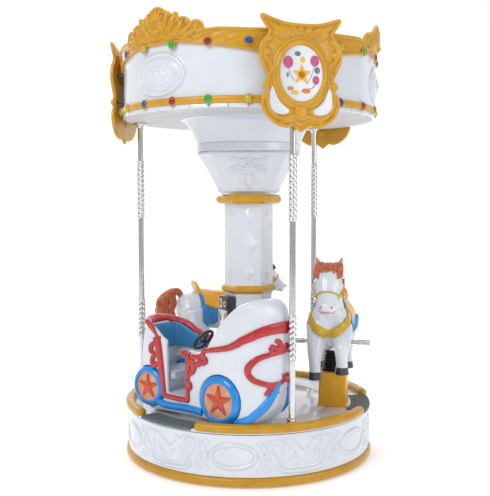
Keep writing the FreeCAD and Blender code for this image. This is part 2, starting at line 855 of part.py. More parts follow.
def mane_and_tail(body):
    """Wavy tail behind and mane along the neck."""
    tail = strand([(-205, 690, 14), (-262, 722, 25), (-316, 706, 33), (-342, 652, 32), (-342, 596, 16)])
    mane = strand([(88, 742, 16), (118, 800, 22), (150, 862, 24), (176, 910, 20)])
    return Part.makeCompound([biggest_solid(tail.cut(body)), biggest_solid(mane.cut(body))])


# ---- chariot, drawn at azimuth 0 and facing +X ------------------------------------------------


def chariot_plan():
    """Top view of the tub, from the rear inner corner round the outside."""
    return [
        (-262, TUB_INNER),
        (-292, -255),
        (-302, -342),
        (-292, -430),
        (-262, TUB_OUTER),
        (290, TUB_OUTER),
        (352, -460),
        (396, -420),
        (418, -366),
        (424, -300),
        (412, -250),
        (386, -225),
        (352, TUB_INNER),
    ]


def grown_plan(extra):
    """The tub's top view, larger by extra on every side."""
    x0, y0 = 60, (TUB_OUTER + TUB_INNER) / 2
    return [
        (x + math.copysign(extra, x - x0), y + math.copysign(extra, y - y0)) for x, y in chariot_plan()
    ]


def chariot_side():
    """Side view of the tub and its swelling hood, from the rear sill upwards."""
    return [
        (-250, DECK_TOP),
        (-288, 300),
        (-302, 380),
        (-302, 480),
        (-290, 570),
        (-268, 650),
        (-215, 650),
        (-160, 600),
        (-20, 566),
        (96, 562),
        (150, 640),
        (205, 719),
        (270, 778),
        (335, 800),
        (385, 788),
        (412, 756),
        (424, 700),
        (424, 620),
        (418, 540),
        (403, 460),
        (376, 380),
        (335, 310),
        (270, DECK_TOP),
    ]


def wheel_rounds(extra):
    """Solid rounds at the four wheels, larger all over by extra."""
    rounds = []
    for x, r, z in (REAR_WHEEL, FRONT_WHEEL):
        for y in (TUB_OUTER - 18, TUB_INNER - 22):
            start = Vec(x, y - extra, z)
            rounds.append(rod(r + extra, start, start + Vec(0, WHEEL_THICK + 2 * extra, 0)))
    return rounds


def chariot_body():
    """Hooded tub with a seat bench, a low floor and a doorway on the outside."""
    tub = side_plate(chariot_side(), (TUB_OUTER, TUB_INNER))
    tub = tub.common(plan_plate(chariot_plan(), (DECK_TOP, 820)))
    floor_space = block((-95, 60), (-446, -239), (345, 900))
    seat_space = block((-260, -94), (-446, -239), (400, 900))
    doorway = block((-121, 12), (TUB_OUTER - 10, -440), (345, 900))
    column_hole = steering_bar(7 + SHAFT_FIT, 20, 130)
    under_hood = scaled_tub(0.955).common(block((112, 424), (-500, -200), (200, 800)))
    spaces = [floor_space, seat_space, doorway, column_hole, under_hood]
    return biggest_solid(tub.cut(fused(spaces + wheel_rounds(4))))


def scaled_tub(share):
    """The tub's outside shrunk about the middle of the hood, and open below."""
    x0, y0, z0 = 255, (TUB_OUTER + TUB_INNER) / 2, 530
    side = [(x0 + (x - x0) * share, z0 + (z - z0) * share) for x, z in chariot_side()]
    side = [(x, z - 30) if z < 300 else (x, z) for x, z in side]
    plan = [(x0 + (x - x0) * share, y0 + (y - y0) * 0.93) for x, y in chariot_plan()]
    tub = side_plate(side, (TUB_OUTER, TUB_INNER))
    return tub.common(plan_plate(plan, (200, 820)))


def chariot_tyres():
    """Four fat tyres as rings."""
    tyres = []
    for (x, r, z), solid in zip((REAR_WHEEL,) * 2 + (FRONT_WHEEL,) * 2, wheel_rounds(0)):
        axle = solid.CenterOfMass
        bore = rod(DISC_SHARE * r, axle - Vec(0, 60, 0), axle + Vec(0, 60, 0))
        tyres.append(solid.cut(bore))
    return Part.makeCompound(tyres)


def chariot_wheel_discs():
    """Discs with five raised arms inside the tyres, each on a stub to the tub."""
    discs = []
    for (x, r, z), solid in zip((REAR_WHEEL,) * 2 + (FRONT_WHEEL,) * 2, wheel_rounds(0)):
        c = solid.CenterOfMass
        out = -1 if c.y < (TUB_OUTER + TUB_INNER) / 2 else 1
        plate = rod(DISC_SHARE * r, c - Vec(0, 12, 0), c + Vec(0, 12, 0))
        points = []
        for i in range(10):
            reach = 0.64 * r if i % 2 == 0 else 0.24 * r
            a = math.radians(90 + 36 * i)
            points.append((c.x + reach * math.cos(a), c.z + reach * math.sin(a)))
        star = side_plate(points, (c.y - 16, c.y + 16))
        stub = rod(14, c, c - Vec(0, out * (WHEEL_THICK / 2 + 4), 0))
        discs.append(fused([plate, star, stub]))
    return Part.makeCompound(discs)


def chariot_sills():
    """Running boards between the wheels, both sides."""
    boards = []
    for y in ((TUB_OUTER - 16, TUB_OUTER), (TUB_INNER, TUB_INNER + 16)):
        board = block((-124, 62), y, (276, 312))
        boards.append(board.makeFillet(6, board.Edges))
    return Part.makeCompound(boards)


def chariot_trim():
    """Door frame and flowing side stripes, on both sides, and the scalloped back rail."""
    stripe = [
        (96, 556),
        (170, 568),
        (250, 596),
        (330, 634),
        (392, 664),
        (392, 704),
        (325, 676),
        (245, 630),
        (165, 592),
        (96, 576),
    ]
    frame = side_plate(
        [(-158, 326), (40, 326), (40, 560), (12, 560), (12, 345), (-121, 345), (-121, 576), (-158, 584)],
        (TUB_OUTER - 8, TUB_OUTER),
    )
    skin = plan_plate(grown_plan(8), (500, 800)).cut(chariot_solid())
    outer = side_plate(stripe, (TUB_OUTER - 8, TUB_OUTER + 70)).common(skin)
    inner = side_plate(stripe, (TUB_INNER - 70, TUB_INNER + 8)).common(skin)
    rail = plan_plate(chariot_plan(), (650, 672)).common(block((-320, -215), (-480, -200), (640, 680)))
    rail = rail.cut(block((-262, -100), (-446, -239), (640, 680)))
    tyre_room = fused(wheel_rounds(1))
    return Part.makeCompound([frame.cut(tyre_room), outer, inner, rail])


def chariot_solid():
    """The tub's outside, filled in, for trimming what lies on it."""
    tub = side_plate(chariot_side(), (TUB_OUTER, TUB_INNER))
    return tub.common(plan_plate(chariot_plan(), (DECK_TOP, 820)))


def chariot_cushion():
    """Padded seat and backrest."""
    seat = block((-222, -100), (-442, -243), (401, 440))
    back = block((-257, -224), (-442, -243), (401, 632))
    return Part.makeCompound([seat.makeFillet(10, seat.Edges), back.makeFillet(10, back.Edges)])


def steering_bar(radius, start, length):
    """A bar along the tilted steering axis, from start to start + length ahead of the wheel."""
    way = Vec(0.8, 0, -0.6)
    hub = Vec(-8, -342, 585)
    return rod(radius, hub + way * start, hub + way * (start + length))


def steering_wheel():
    """Wheel with three spokes on a shaft that turns in the dash."""
    way, hub = Vec(0.8, 0, -0.6), Vec(-8, -342, 585)
    rim = Part.makeTorus(52, 8, hub, way)
    parts = [rim, rod(14, hub - way * 6, hub + way * 10), steering_bar(7, 0, 125)]
    up = Vec(0.6, 0, 0.8)
    for i in range(3):
        a = math.radians(90 + THIRD * i)
        tip = up * (50 * math.sin(a)) + Vec(0, 50 * math.cos(a), 0)
        parts.append(rod(6, hub, hub + tip))
    return fused(parts)


# ---- coin box, drawn at azimuth 0 -------------------------------------------------------------


def coin_box():
    """Slim box on the column, open behind its door, with a bezel for the start button."""
    front, back = -COLUMN_APOTHEM - 42, -COLUMN_APOTHEM
    box = block((-45, 45), (front, back), (585, 763))
    space = block((-36, 36), (front - 1, back - 4), (600, 690))
    slot = block((-26, -22), (front - 1, front + 20), (712, 742))
    button_hole = rod(9.05, Vec(18, front - 1, 727), Vec(18, front + 24, 727))
    return box.cut(fused([space, slot, button_hole]))


def coin_door():
    """Cash door with a lock and a hinge barrel along its left edge."""
    front = -COLUMN_APOTHEM - 42
    leaf = block((-40, 40), (front - 3.3, front - 0.3), (594, 696))
    barrel = rod(3, Vec(-40, front - 3.3, 594), Vec(-40, front - 3.3, 696))
    lock = rod(8, Vec(28, front - 7, 645), Vec(28, front - 1, 645))
    return fused([leaf, barrel, lock])


def start_button():
    front = -COLUMN_APOTHEM - 42
    return rod(9, Vec(18, front - 7, 727), Vec(18, front + 14, 727))


# ---- all nodes --------------------------------------------------------------------------------


def build_nodes():
    nodes = {
        "base_frame": base_frame(),
        "skirt_panels": skirt_panels(),
        "lower_rim_ring": bullnose(SKIRT_R - 18, BASE_R, (4, SKIRT_BOTTOM)).cut(
            disc(576, (0, 41))
        ),
        "cable_gland": cable_gland(),
        "slew_inner_ring": slew_inner_ring(),
        "drive_gearmotor": gearmotor(),
        "control_cabinet": control_cabinet(),
        "slip_ring_stator": slip_ring_stator(),
        "drive_pinion": drive_pinion(),
        "slew_gear_ring": slew_gear_ring(),
        "slip_ring_rotor": slip_ring_rotor(),
        "platform_frame": platform_frame(),
        "deck": deck(),
        "rim_segments": rim_segments(),
        "tread_pads": tread_pads(),
        "column_core": column_core(),
        "column_base_shell": column_base_shell(),
        "lower_column_ring": bevelled_ring(LOWER_RING_R, LOWER_RING),
        "column_shaft": column_shaft(),
        "upper_column_ring": bevelled_ring(UPPER_RING_R, UPPER_RING),
        "capital": capital(),
        "canopy_ceiling": canopy_ceiling(),
        "canopy_frame": canopy_frame(),
        "canopy_roof": canopy_roof(),
        "canopy_panels": canopy_panels(),
        "lower_band": lower_band(),
        "upper_band": upper_band(),
        "crests": crests(),
        "shields": shields(),
        "shield_pictures": shield_pictures(),
        "gem_lamps": gem_lamps(),
        "poles": poles(),
        "pole_fittings": pole_fittings(),
        "pedestals": repeated(pedestal(), HORSE_AZIMUTHS.values()),
        "guide_bushes": repeated(guide_bush(), HORSE_AZIMUTHS.values()),
        "lift_gearmotors": repeated(lift_gearmotor(), HORSE_AZIMUTHS.values()),
    }
    lift = lift_rod()
    bar = footrest()
    body = horse_body().cut(fused([lift, bar]))
    seat = saddle(body)
    hair = mane_and_tail(fused([body, seat]))
    for name, azimuth in HORSE_AZIMUTHS.items():
        nodes["crank_" + name] = turned(crank(), azimuth)
        nodes["lift_rod_" + name] = turned(lift, azimuth)
        nodes["bellows_" + name] = turned(bellows(), azimuth)
        nodes["horse_body_" + name] = turned(body, azimuth)
        nodes["saddle_" + name] = turned(seat, azimuth)
        nodes["mane_tail_" + name] = turned(hair, azimuth)
        nodes["footrest_" + name] = turned(bar, azimuth)
    chariot = {
        "chariot_body": chariot_body(),
        "chariot_tyres": chariot_tyres(),
        "chariot_wheel_discs": chariot_wheel_discs(),
        "chariot_sills": chariot_sills(),
        "chariot_trim": chariot_trim(),
        "chariot_cushion": chariot_cushion(),
        "steering_wheel": steering_wheel(),
    }
    for name, shape in chariot.items():
        nodes[name] = turned(shape, CHARIOT_TURN)
    coin_parts = {"coin_box": coin_box(), "coin_door": coin_door(), "start_button": start_button()}
    for name, shape in coin_parts.items():
        nodes[name] = turned(shape, COIN_BOX_AZIMUTH)
    return nodes


os.makedirs("parts", exist_ok=True)
for node, shape in build_nodes().items():
    shape.exportStep("parts/" + node + ".step")
    print(node, len(shape.Solids), shape.isValid(), round(shape.Volume / 1000, 1), "cm3")
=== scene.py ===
"""Looks of a small coin-operated roundabout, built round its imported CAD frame.

Everything is in metres in the CAD frame: the floor is z = 0, the upright axis is x = y = 0 and -Y is the
front. An azimuth is measured from the front, anticlockwise seen from above, in degrees.
Ornament is modelled flat, as (across, up, out), and then laid on the round wall it belongs to.
"""

import math

import bmesh
import bpy
import numpy as np
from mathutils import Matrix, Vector
from mathutils.bvhtree import BVHTree


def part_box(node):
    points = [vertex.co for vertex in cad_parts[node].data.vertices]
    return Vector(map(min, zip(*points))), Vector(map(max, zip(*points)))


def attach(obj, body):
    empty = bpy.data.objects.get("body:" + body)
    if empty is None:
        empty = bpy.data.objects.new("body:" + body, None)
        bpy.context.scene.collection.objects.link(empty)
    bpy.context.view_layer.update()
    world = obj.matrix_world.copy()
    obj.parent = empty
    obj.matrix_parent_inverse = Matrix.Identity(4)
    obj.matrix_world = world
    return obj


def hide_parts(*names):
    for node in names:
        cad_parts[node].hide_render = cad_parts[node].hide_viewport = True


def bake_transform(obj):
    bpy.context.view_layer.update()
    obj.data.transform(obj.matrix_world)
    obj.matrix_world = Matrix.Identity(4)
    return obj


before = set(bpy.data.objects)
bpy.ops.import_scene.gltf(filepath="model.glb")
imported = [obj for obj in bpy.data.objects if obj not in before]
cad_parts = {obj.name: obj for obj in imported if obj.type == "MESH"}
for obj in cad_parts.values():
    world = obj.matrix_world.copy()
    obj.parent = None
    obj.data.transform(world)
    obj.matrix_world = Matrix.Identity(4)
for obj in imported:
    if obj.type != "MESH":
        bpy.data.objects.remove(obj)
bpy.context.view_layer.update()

STATIONS = {"chariot": -40, "1": 80, "2": 200}
POLES = [20, 140, 260]

SKIRT_LOW, SKIRT_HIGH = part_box("column_base_shell")[0].z - 0.199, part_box("rim_segments")[0].z - 0.005
DECK_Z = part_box("deck")[1].z
RIM_LOW, RIM_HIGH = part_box("rim_segments")[0].z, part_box("rim_segments")[1].z
SKIRT_R = 0.588
CANOPY_R = 0.600
COLUMN_R = 0.113
POLE_AT = 0.548
HORSE_AT = 0.410
CHARIOT_TURN = -36


# ---- points and turns -------------------------------------------------------------------------


def turn(points, azimuth):
    """Points turned about the upright axis."""
    a = math.radians(azimuth)
    p = np.asarray(points, float)
    x = p[:, 0] * math.cos(a) - p[:, 1] * math.sin(a)
    y = p[:, 0] * math.sin(a) + p[:, 1] * math.cos(a)
    return np.stack([x, y, p[:, 2]], 1)


def wrap(points, radius, azimuth=0.0):
    """Flat (across, up, out) points laid on an upright round wall."""
    p = np.asarray(points, float)
    a = math.radians(azimuth) + p[:, 0] / radius
    r = radius + p[:, 2]
    return np.stack([r * np.sin(a), -r * np.cos(a), p[:, 1]], 1)


def stand(points, y, azimuth=0.0):
    """Flat (across, up, out) points stood up on a flat plane at distance y in front of the axis."""
    p = np.asarray(points, float)
    return turn(np.stack([p[:, 0], -y - p[:, 2], p[:, 1]], 1), azimuth)


def smooth_line(points, steps=8, closed=False):
    """A Catmull-Rom line through the points. Each point may carry extra values, such as a radius."""
    p = np.asarray(points, float)
    n = len(p)
    spans = n if closed else n - 1
    out = []
    for i in range(spans):
        if closed:
            a, b, c, d = (p[(i + k - 1) % n] for k in range(4))
        else:
            a, b, c, d = p[max(i - 1, 0)], p[i], p[i + 1], p[min(i + 2, n - 1)]
        for k in range(steps):
            t = k / steps
            out.append(
                0.5 * (
                    2 * b + (c - a) * t + (2 * a - 5 * b + 4 * c - d) * t**2 + (3 * b - a - 3 * c + d) * t**3
                )
            )
    if not closed:
        out.append(p[-1])
    return np.array(out)


def spiral(centre, start_r, end_r, start_deg, turns, count=28):
    """Points of a flat spiral about centre."""
    t = np.linspace(0, 1, count)
    r = start_r * (end_r / start_r) ** t
    a = np.radians(start_deg) + 2 * math.pi * turns * t
    return np.stack([centre[0] + r * np.cos(a), centre[1] + r * np.sin(a)], 1)


# ---- mesh builders: each returns (points, faces) ----------------------------------------------


def grid_faces(rows, cols, wrap_cols=False, wrap_rows=False, base=0):
    """Four-sided faces over a grid of points, closed in either direction if asked."""
    faces = []
    for i in range(rows if wrap_rows else rows - 1):
        for j in range(cols if wrap_cols else cols - 1):
            a, b = i * cols + j, i * cols + (j + 1) % cols
            c, d = ((i + 1) % rows) * cols + (j + 1) % cols, ((i + 1) % rows) * cols + j
            faces.append((base + a, base + b, base + c, base + d))
    return faces


def skin_sections(sections):
    """Closed rings of equal length joined into one skin, with fanned ends."""
    s = np.asarray(sections, float)
    rows, cols = s.shape[:2]
    points = s.reshape(-1, 3)
    faces = grid_faces(rows, cols, wrap_cols=True)
    points = np.vstack([points, s[0].mean(0), s[-1].mean(0)])
    first, last = rows * cols, rows * cols + 1
    for j in range(cols):
        k = (j + 1) % cols
        faces.append((first, k, j))
        faces.append((last, (rows - 1) * cols + j, (rows - 1) * cols + k))
    return points, faces


def tube(path, radius, sides=10, flat=1.0, closed=False):
    """A round or flattened bar along a path. radius is one number or one for each point."""
    p = np.asarray(path, float)[:, :3]
    n = len(p)
    r = np.broadcast_to(np.asarray(radius, float), (n,))
    ahead = np.roll(p, -1, 0) - np.roll(p, 1, 0)
    if not closed:
        ahead[0], ahead[-1] = p[1] - p[0], p[-1] - p[-2]
    ahead /= np.linalg.norm(ahead, axis=1)[:, None] + 1e-12
    side = np.cross(ahead[0], (0.3, 0.2, 1.0))
    side /= np.linalg.norm(side)
    sides_at = [side]
    for i in range(1, n):
        s = sides_at[-1] - ahead[i] * np.dot(sides_at[-1], ahead[i])
        sides_at.append(s / (np.linalg.norm(s) + 1e-12))
    side = np.array(sides_at)
    other = np.cross(ahead, side)
    a = np.linspace(0, 2 * math.pi, sides, endpoint=False)
    rings = p[:, None] + r[:, None, None] * (
        np.cos(a)[None, :, None] * side[:, None] + flat * np.sin(a)[None, :, None] * other[:, None]
    )
    if closed:
        return rings.reshape(-1, 3), grid_faces(n, sides, wrap_cols=True, wrap_rows=True)
    return skin_sections(rings)


def lathe(outline, steps=192, start=0.0, sweep=360.0):
    """A (radius, height) outline swept about the upright axis."""
    o = np.asarray(outline, float)
    full = sweep >= 360
    a = np.radians(start + np.linspace(0, sweep, steps + (0 if full else 1), endpoint=not full))
    rings = np.stack(
        [
            np.sin(a)[:, None] * o[None, :, 0],
            -np.cos(a)[:, None] * o[None, :, 0],
            np.broadcast_to(o[None, :, 1], (len(a), len(o))),
        ],
        2,
    )
    if full:
        return rings.reshape(-1, 3), grid_faces(len(a), len(o), wrap_cols=True, wrap_rows=True)
    return skin_sections(rings)


def blob(centre, radii):
    """An ellipsoid."""
    rings, sides = 10, 16
    t = np.linspace(0, math.pi, rings + 1)[1:-1]
    a = np.linspace(0, 2 * math.pi, sides, endpoint=False)
    points = [(0, 0, 1)]
    for s in t:
        for b in a:
            points.append((math.sin(s) * math.cos(b), math.sin(s) * math.sin(b), math.cos(s)))
    points.append((0, 0, -1))
    p = np.array(points) * np.asarray(radii, float) + np.asarray(centre, float)
    faces = [(0, 1 + j, 1 + (j + 1) % sides) for j in range(sides)]
    faces += grid_faces(len(t), sides, wrap_cols=True, base=1)
    last = len(points) - 1
    low = 1 + (len(t) - 1) * sides
    faces += [(last, low + (j + 1) % sides, low + j) for j in range(sides)]
    return p, faces


def slab(outline, low, high, crown=0.0):
    """A flat outline of (across, up) points with a thickness along out, and a domed front."""
    o = np.asarray(outline, float)
    if (o[:, 0] * np.roll(o[:, 1], -1) - o[:, 1] * np.roll(o[:, 0], -1)).sum() < 0:
        o = o[::-1]
    n = len(o)
    middle = o.mean(0)
    rings = [np.c_[o, np.full(n, low)], np.c_[o, np.full(n, high)]]
    if crown:
        for share in (0.9, 0.7, 0.45, 0.2):
            ring = middle + (o - middle) * share
            rings.append(np.c_[ring, np.full(n, high + crown * (1 - share**2))])
    return skin_sections(rings)


def leaf(base, tip, width, thick, bend=0.0, out=0.0):
    """A pointed domed leaf lying in the flat, from base to tip."""
    b, t = np.asarray(base, float), np.asarray(tip, float)
    along = t - b
    across = np.array([-along[1], along[0]]) / (np.linalg.norm(along) + 1e-12)
    rows = []
    for s in np.linspace(0, 1, 9):
        half = width * (math.sin(math.pi * min(1, s * 0.92 + 0.08)) ** 0.8) / 2
        centre = b + along * s + across * bend * math.sin(math.pi * s)
        row = []
        for k in np.linspace(-1, 1, 7):
            xy = centre + across * half * k
            ridge = 0.35 * thick * max(0, 1 - abs(k) * 3)
            height = out + thick * (1 - k * k) * math.sin(math.pi * (0.12 + 0.76 * s)) - ridge
            row.append((xy[0], xy[1], height))
        rows.append(row)
    top = np.array(rows)
    low = top.copy()
    low[:, :, 2] = out - 0.002
    ring = [np.vstack([top[i], low[i, ::-1]]) for i in range(len(rows))]
    return skin_sections(ring)


class Clay:
    """Meshes gathered in one place, to be shown as they are or melted together."""

    def __init__(self):
        self.points, self.faces, self.count = [], [], 0

    def add(self, mesh, move=None):
        points, faces = mesh
        if move is not None:
            points = move(points)
        self.points.append(np.asarray(points, float))
        self.faces += [tuple(i + self.count for i in f) for f in faces]
        self.count += len(points)
        return self

    def mirrored(self, mesh):
        """Adds a flat mesh and its left-right mirror image."""
        self.add(mesh)
        points, faces = mesh
        flipped = np.asarray(points, float) * (-1, 1, 1)
        return self.add((flipped, [tuple(reversed(f)) for f in faces]))

    def scroll(self, path, radius, flat=0.8):
        self.mirrored(tube(path, radius, flat=flat))

    def mesh(self):
        return np.vstack(self.points), self.faces


def raise_line(path, out=0.0):
    """A flat (across, up) line with its height out of the plane."""
    p = np.asarray(path, float)
    return np.c_[p[:, :2], np.full(len(p), out)]


def bead(path, radius, out=0.0, sides=8, closed=False):
    """A round bar along a flat line, out of the plane by out."""
    return tube(raise_line(path, out), radius, sides=sides, closed=closed)


def melt(mesh, voxel, smooth=4, strength=0.5):
    """One closed skin round everything in mesh, its joins filled and softened."""
    points, faces = mesh
    data = bpy.data.meshes.new("melting")
    data.from_pydata([tuple(p) for p in points], [], faces)
    ob = bpy.data.objects.new("melting", data)
    bpy.context.scene.collection.objects.link(ob)
    remesh = ob.modifiers.new("remesh", "REMESH")
    remesh.mode = "VOXEL"
    remesh.voxel_size = voxel
    soften = ob.modifiers.new("smooth", "SMOOTH")
    soften.factor, soften.iterations = strength, smooth
    graph = bpy.context.evaluated_depsgraph_get()
    done = ob.evaluated_get(graph).to_mesh()
    co = np.zeros(len(done.vertices) * 3)
    done.vertices.foreach_get("co", co)
    out = [tuple(p.vertices) for p in done.polygons]
    ob.evaluated_get(graph).to_mesh_clear()
    bpy.data.objects.remove(ob)
    bpy.data.meshes.remove(data)
    return co.reshape(-1, 3), out


def as_object(name, mesh):
    """A plain object for a passing job, its faces turned outwards."""
    data = bpy.data.meshes.new(name)
    data.from_pydata([tuple(p) for p in mesh[0]], [], mesh[1])
    bm = bmesh.new()
    bm.from_mesh(data)
    bmesh.ops.recalc_face_normals(bm, faces=bm.faces)
    bm.to_mesh(data)
    bm.free()
    ob = bpy.data.objects.new(name, data)
    bpy.context.scene.collection.objects.link(ob)
    return ob


def cut_away(mesh, cutters):
    """A closed mesh less the closed cutters."""
    body, tool = as_object("carving", mesh), as_object("tool", cutters)
    boolean = body.modifiers.new("cut", "BOOLEAN")
    boolean.operation, boolean.object, boolean.solver = "DIFFERENCE", tool, "EXACT"
    graph = bpy.context.evaluated_depsgraph_get()
    done = body.evaluated_get(graph).to_mesh()
    points = np.array([v.co for v in done.vertices])
    faces = [tuple(p.vertices) for p in done.polygons]
    body.evaluated_get(graph).to_mesh_clear()
    bpy.data.objects.remove(body)
    bpy.data.objects.remove(tool)
    return points, faces


def upright(outline, z_low, z_high):
    """An outline of (x, y) points run between two heights."""
    o = np.asarray(outline, float)
    return skin_sections([np.c_[o, np.full(len(o), z)] for z in (z_low, z_high)])


def piece(name, mesh, body, material, smooth=True, sharp=None, replaces=()):
    """A finished piece: a named object that rides on a CAD body, if one is given."""
    points, faces = mesh
    data = bpy.data.meshes.new(name)
    data.from_pydata([tuple(p) for p in points], [], faces)
    data.validate()
    bm = bmesh.new()
    bm.from_mesh(data)
    bmesh.ops.recalc_face_normals(bm, faces=bm.faces)
    bm.to_mesh(data)
    bm.free()
    data.polygons.foreach_set("use_smooth", [smooth] * len(data.polygons))
    if smooth and sharp:
        data.set_sharp_from_angle(angle=math.radians(sharp))
    data.materials.append(material)
    ob = bpy.data.objects.new(name, data)
    bpy.context.scene.collection.objects.link(ob)
    if body:
        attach(ob, body)
    for node in replaces:
        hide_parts(node)
    return ob




# ---- finishes ---------------------------------------------------------------------------------


def finish(
    name, colour, second, rough=0.3, metal=0.0, coat=0.0, grain=30.0, fine=420.0, bump=0.08, recess_shade=None,
    clear=0.0,
):
    """A finish with a slow change of colour, a fine tooth, uneven gloss and, if given, painted shade that
    darkens its recesses.
    """
    m = bpy.data.materials.new(name)
    m.use_nodes = True
    nodes, links = m.node_tree.nodes, m.node_tree.links
    shader = nodes["Principled BSDF"]
    where = nodes.new("ShaderNodeTexCoord")
    slow = nodes.new("ShaderNodeTexNoise")
    slow.inputs["Scale"].default_value = grain
    slow.inputs["Detail"].default_value = 6
    links.new(where.outputs["Object"], slow.inputs["Vector"])
    spread = nodes.new("ShaderNodeMapRange")
    spread.inputs["From Min"].default_value = 0.3
    spread.inputs["From Max"].default_value = 0.7
    links.new(slow.outputs["Fac"], spread.inputs["Value"])
    mix = nodes.new("ShaderNodeMix")
    mix.data_type = "RGBA"
    mix.inputs["A"].default_value = (*colour, 1)
    mix.inputs["B"].default_value = (*second, 1)
    links.new(spread.outputs["Result"], mix.inputs["Factor"])
    last = mix.outputs["Result"]
    # Painted shade: where the surface is concave (low pointiness) the colour is mixed towards the recess
    # shade colour, standing in for the shade that falls in recesses.
    if recess_shade:
        shape = nodes.new("ShaderNodeNewGeometry")
        hollow = nodes.new("ShaderNodeMapRange")
        hollow.inputs["From Min"].default_value = 0.50
        hollow.inputs["From Max"].default_value = 0.42
        links.new(shape.outputs["Pointiness"], hollow.inputs["Value"])
        shade_mix = nodes.new("ShaderNodeMix")
        shade_mix.data_type = "RGBA"
        shade_mix.inputs["B"].default_value = (*recess_shade, 1)
        links.new(hollow.outputs["Result"], shade_mix.inputs["Factor"])
        links.new(last, shade_mix.inputs["A"])
        last = shade_mix.outputs["Result"]
    links.new(last, shader.inputs["Base Color"])
    tooth = nodes.new("ShaderNodeTexNoise")
    tooth.inputs["Scale"].default_value = fine
    tooth.inputs["Detail"].default_value = 3
    links.new(where.outputs["Object"], tooth.inputs["Vector"])
    gloss = nodes.new("ShaderNodeMapRange")
    gloss.inputs["To Min"].default_value = max(0.02, rough - 0.07)
    gloss.inputs["To Max"].default_value = min(1.0, rough + 0.07)
    links.new(slow.outputs["Fac"], gloss.inputs["Value"])
    links.new(gloss.outputs["Result"], shader.inputs["Roughness"])
    raised = nodes.new("ShaderNodeBump")
    raised.inputs["Strength"].default_value = bump
    raised.inputs["Distance"].default_value = 0.001
    links.new(tooth.outputs["Fac"], raised.inputs["Height"])
    links.new(raised.outputs["Normal"], shader.inputs["Normal"])
    shader.inputs["Metallic"].default_value = metal
    shader.inputs["Coat Weight"].default_value = coat
    shader.inputs["Coat Roughness"].default_value = 0.06
    shader.inputs["Transmission Weight"].default_value = clear
    return m


# The recess shade colour given to a finish below is painted shade: a darker tone mixed into the hollows of
# its surface.
WHITE = finish(
    "white_gelcoat", (0.76, 0.80, 0.86), (0.71, 0.75, 0.82), 0.22, coat=0.6, grain=9,
    recess_shade=(0.46, 0.52, 0.63),
)
CREAM = finish("ceiling_white", (0.60, 0.60, 0.61), (0.53, 0.53, 0.54), 0.45, grain=14)
GOLD = finish(
    "gold_paint", (0.68, 0.36, 0.010), (0.58, 0.28, 0.008), 0.30, coat=0.15, grain=22,
    recess_shade=(0.34, 0.14, 0.006),
)
RIM_GOLD = finish("rim_gold", (0.60, 0.31, 0.006), (0.52, 0.25, 0.005), 0.32, coat=0.12, grain=18)
STEEL = finish("frame_steel", (0.10, 0.11, 0.12), (0.07, 0.07, 0.08), 0.45, metal=0.6, grain=60, bump=0.2)
BRIGHT = finish(
    "bearing_steel", (0.45, 0.45, 0.46), (0.34, 0.34, 0.35), 0.25, metal=1.0, grain=80, bump=0.12,
)
CHROME = finish("chrome", (0.78, 0.78, 0.80), (0.64, 0.63, 0.64), 0.10, metal=1.0, grain=70, bump=0.03)
RUBBER = finish("tread_rubber", (0.13, 0.17, 0.17), (0.09, 0.12, 0.12), 0.62, grain=60, bump=0.5)
BLACK_RUBBER = finish("bellows_rubber", (0.012, 0.012, 0.013), (0.03, 0.03, 0.03), 0.42, grain=40, bump=0.3)
BLACK = finish("black_plastic", (0.010, 0.014, 0.018), (0.022, 0.028, 0.034), 0.28, coat=0.3, grain=50)
MOTOR = finish("motor_paint", (0.05, 0.10, 0.16), (0.03, 0.07, 0.12), 0.4, grain=60, bump=0.3)
BRASS = finish("brass", (0.65, 0.42, 0.13), (0.50, 0.30, 0.09), 0.3, metal=1.0, grain=70)
YELLOW = finish("pedestal_yellow", (0.82, 0.42, 0.008), (0.72, 0.34, 0.006), 0.32, coat=0.15, grain=25)
BLUE = finish(
    "chariot_blue", (0.008, 0.31, 0.84), (0.006, 0.25, 0.74), 0.22, coat=0.4, grain=20,
    recess_shade=(0.006, 0.14, 0.48),
)
RED = finish(
    "chariot_red", (0.56, 0.018, 0.022), (0.42, 0.012, 0.016), 0.24, coat=0.6, grain=30,
    recess_shade=(0.22, 0.006, 0.008),
)
DISC = finish(
    "wheel_disc", (0.74, 0.40, 0.27), (0.66, 0.27, 0.15), 0.3, coat=0.4, grain=24,
    recess_shade=(0.45, 0.10, 0.05),
)
SPOKE = finish(
    "spoke_red", (0.66, 0.075, 0.015), (0.56, 0.045, 0.012), 0.3, coat=0.4, grain=30,
    recess_shade=(0.34, 0.02, 0.01),
)
VINYL = finish(
    "cushion_vinyl", (0.06, 0.28, 0.56), (0.05, 0.23, 0.48), 0.42, grain=60, fine=900, bump=0.5,
    recess_shade=(0.015, 0.07, 0.17),
)
PALE_VINYL = finish(
    "pale_vinyl", (0.62, 0.67, 0.74), (0.56, 0.61, 0.69), 0.42, grain=60, fine=900, bump=0.5,
    recess_shade=(0.30, 0.36, 0.44),
)
SADDLE = finish(
    "saddle_yellow", (0.84, 0.42, 0.010), (0.74, 0.33, 0.008), 0.28, coat=0.5, grain=30,
    recess_shade=(0.42, 0.16, 0.01),
)
CLOTH_BLUE = finish(
    "blanket_blue", (0.030, 0.28, 0.66), (0.022, 0.21, 0.56), 0.3, coat=0.3, grain=30,
    recess_shade=(0.012, 0.10, 0.32),
)
STRAP = finish("strap_yellow", (0.68, 0.44, 0.012), (0.56, 0.34, 0.010), 0.32, coat=0.4, grain=40)
HAIR = finish(
    "mane_orange", (0.60, 0.16, 0.055), (0.42, 0.075, 0.025), 0.34, coat=0.35, grain=55,
    recess_shade=(0.20, 0.025, 0.012),
)
PINK = finish("horse_pink", (0.68, 0.26, 0.27), (0.60, 0.19, 0.21), 0.3, coat=0.4, grain=40)
HOOF = finish("hoof_black", (0.012, 0.012, 0.016), (0.03, 0.03, 0.035), 0.22, coat=0.5, grain=40)
BUTTON = finish("button_red", (0.62, 0.02, 0.02), (0.5, 0.015, 0.015), 0.2, coat=0.6, grain=80)
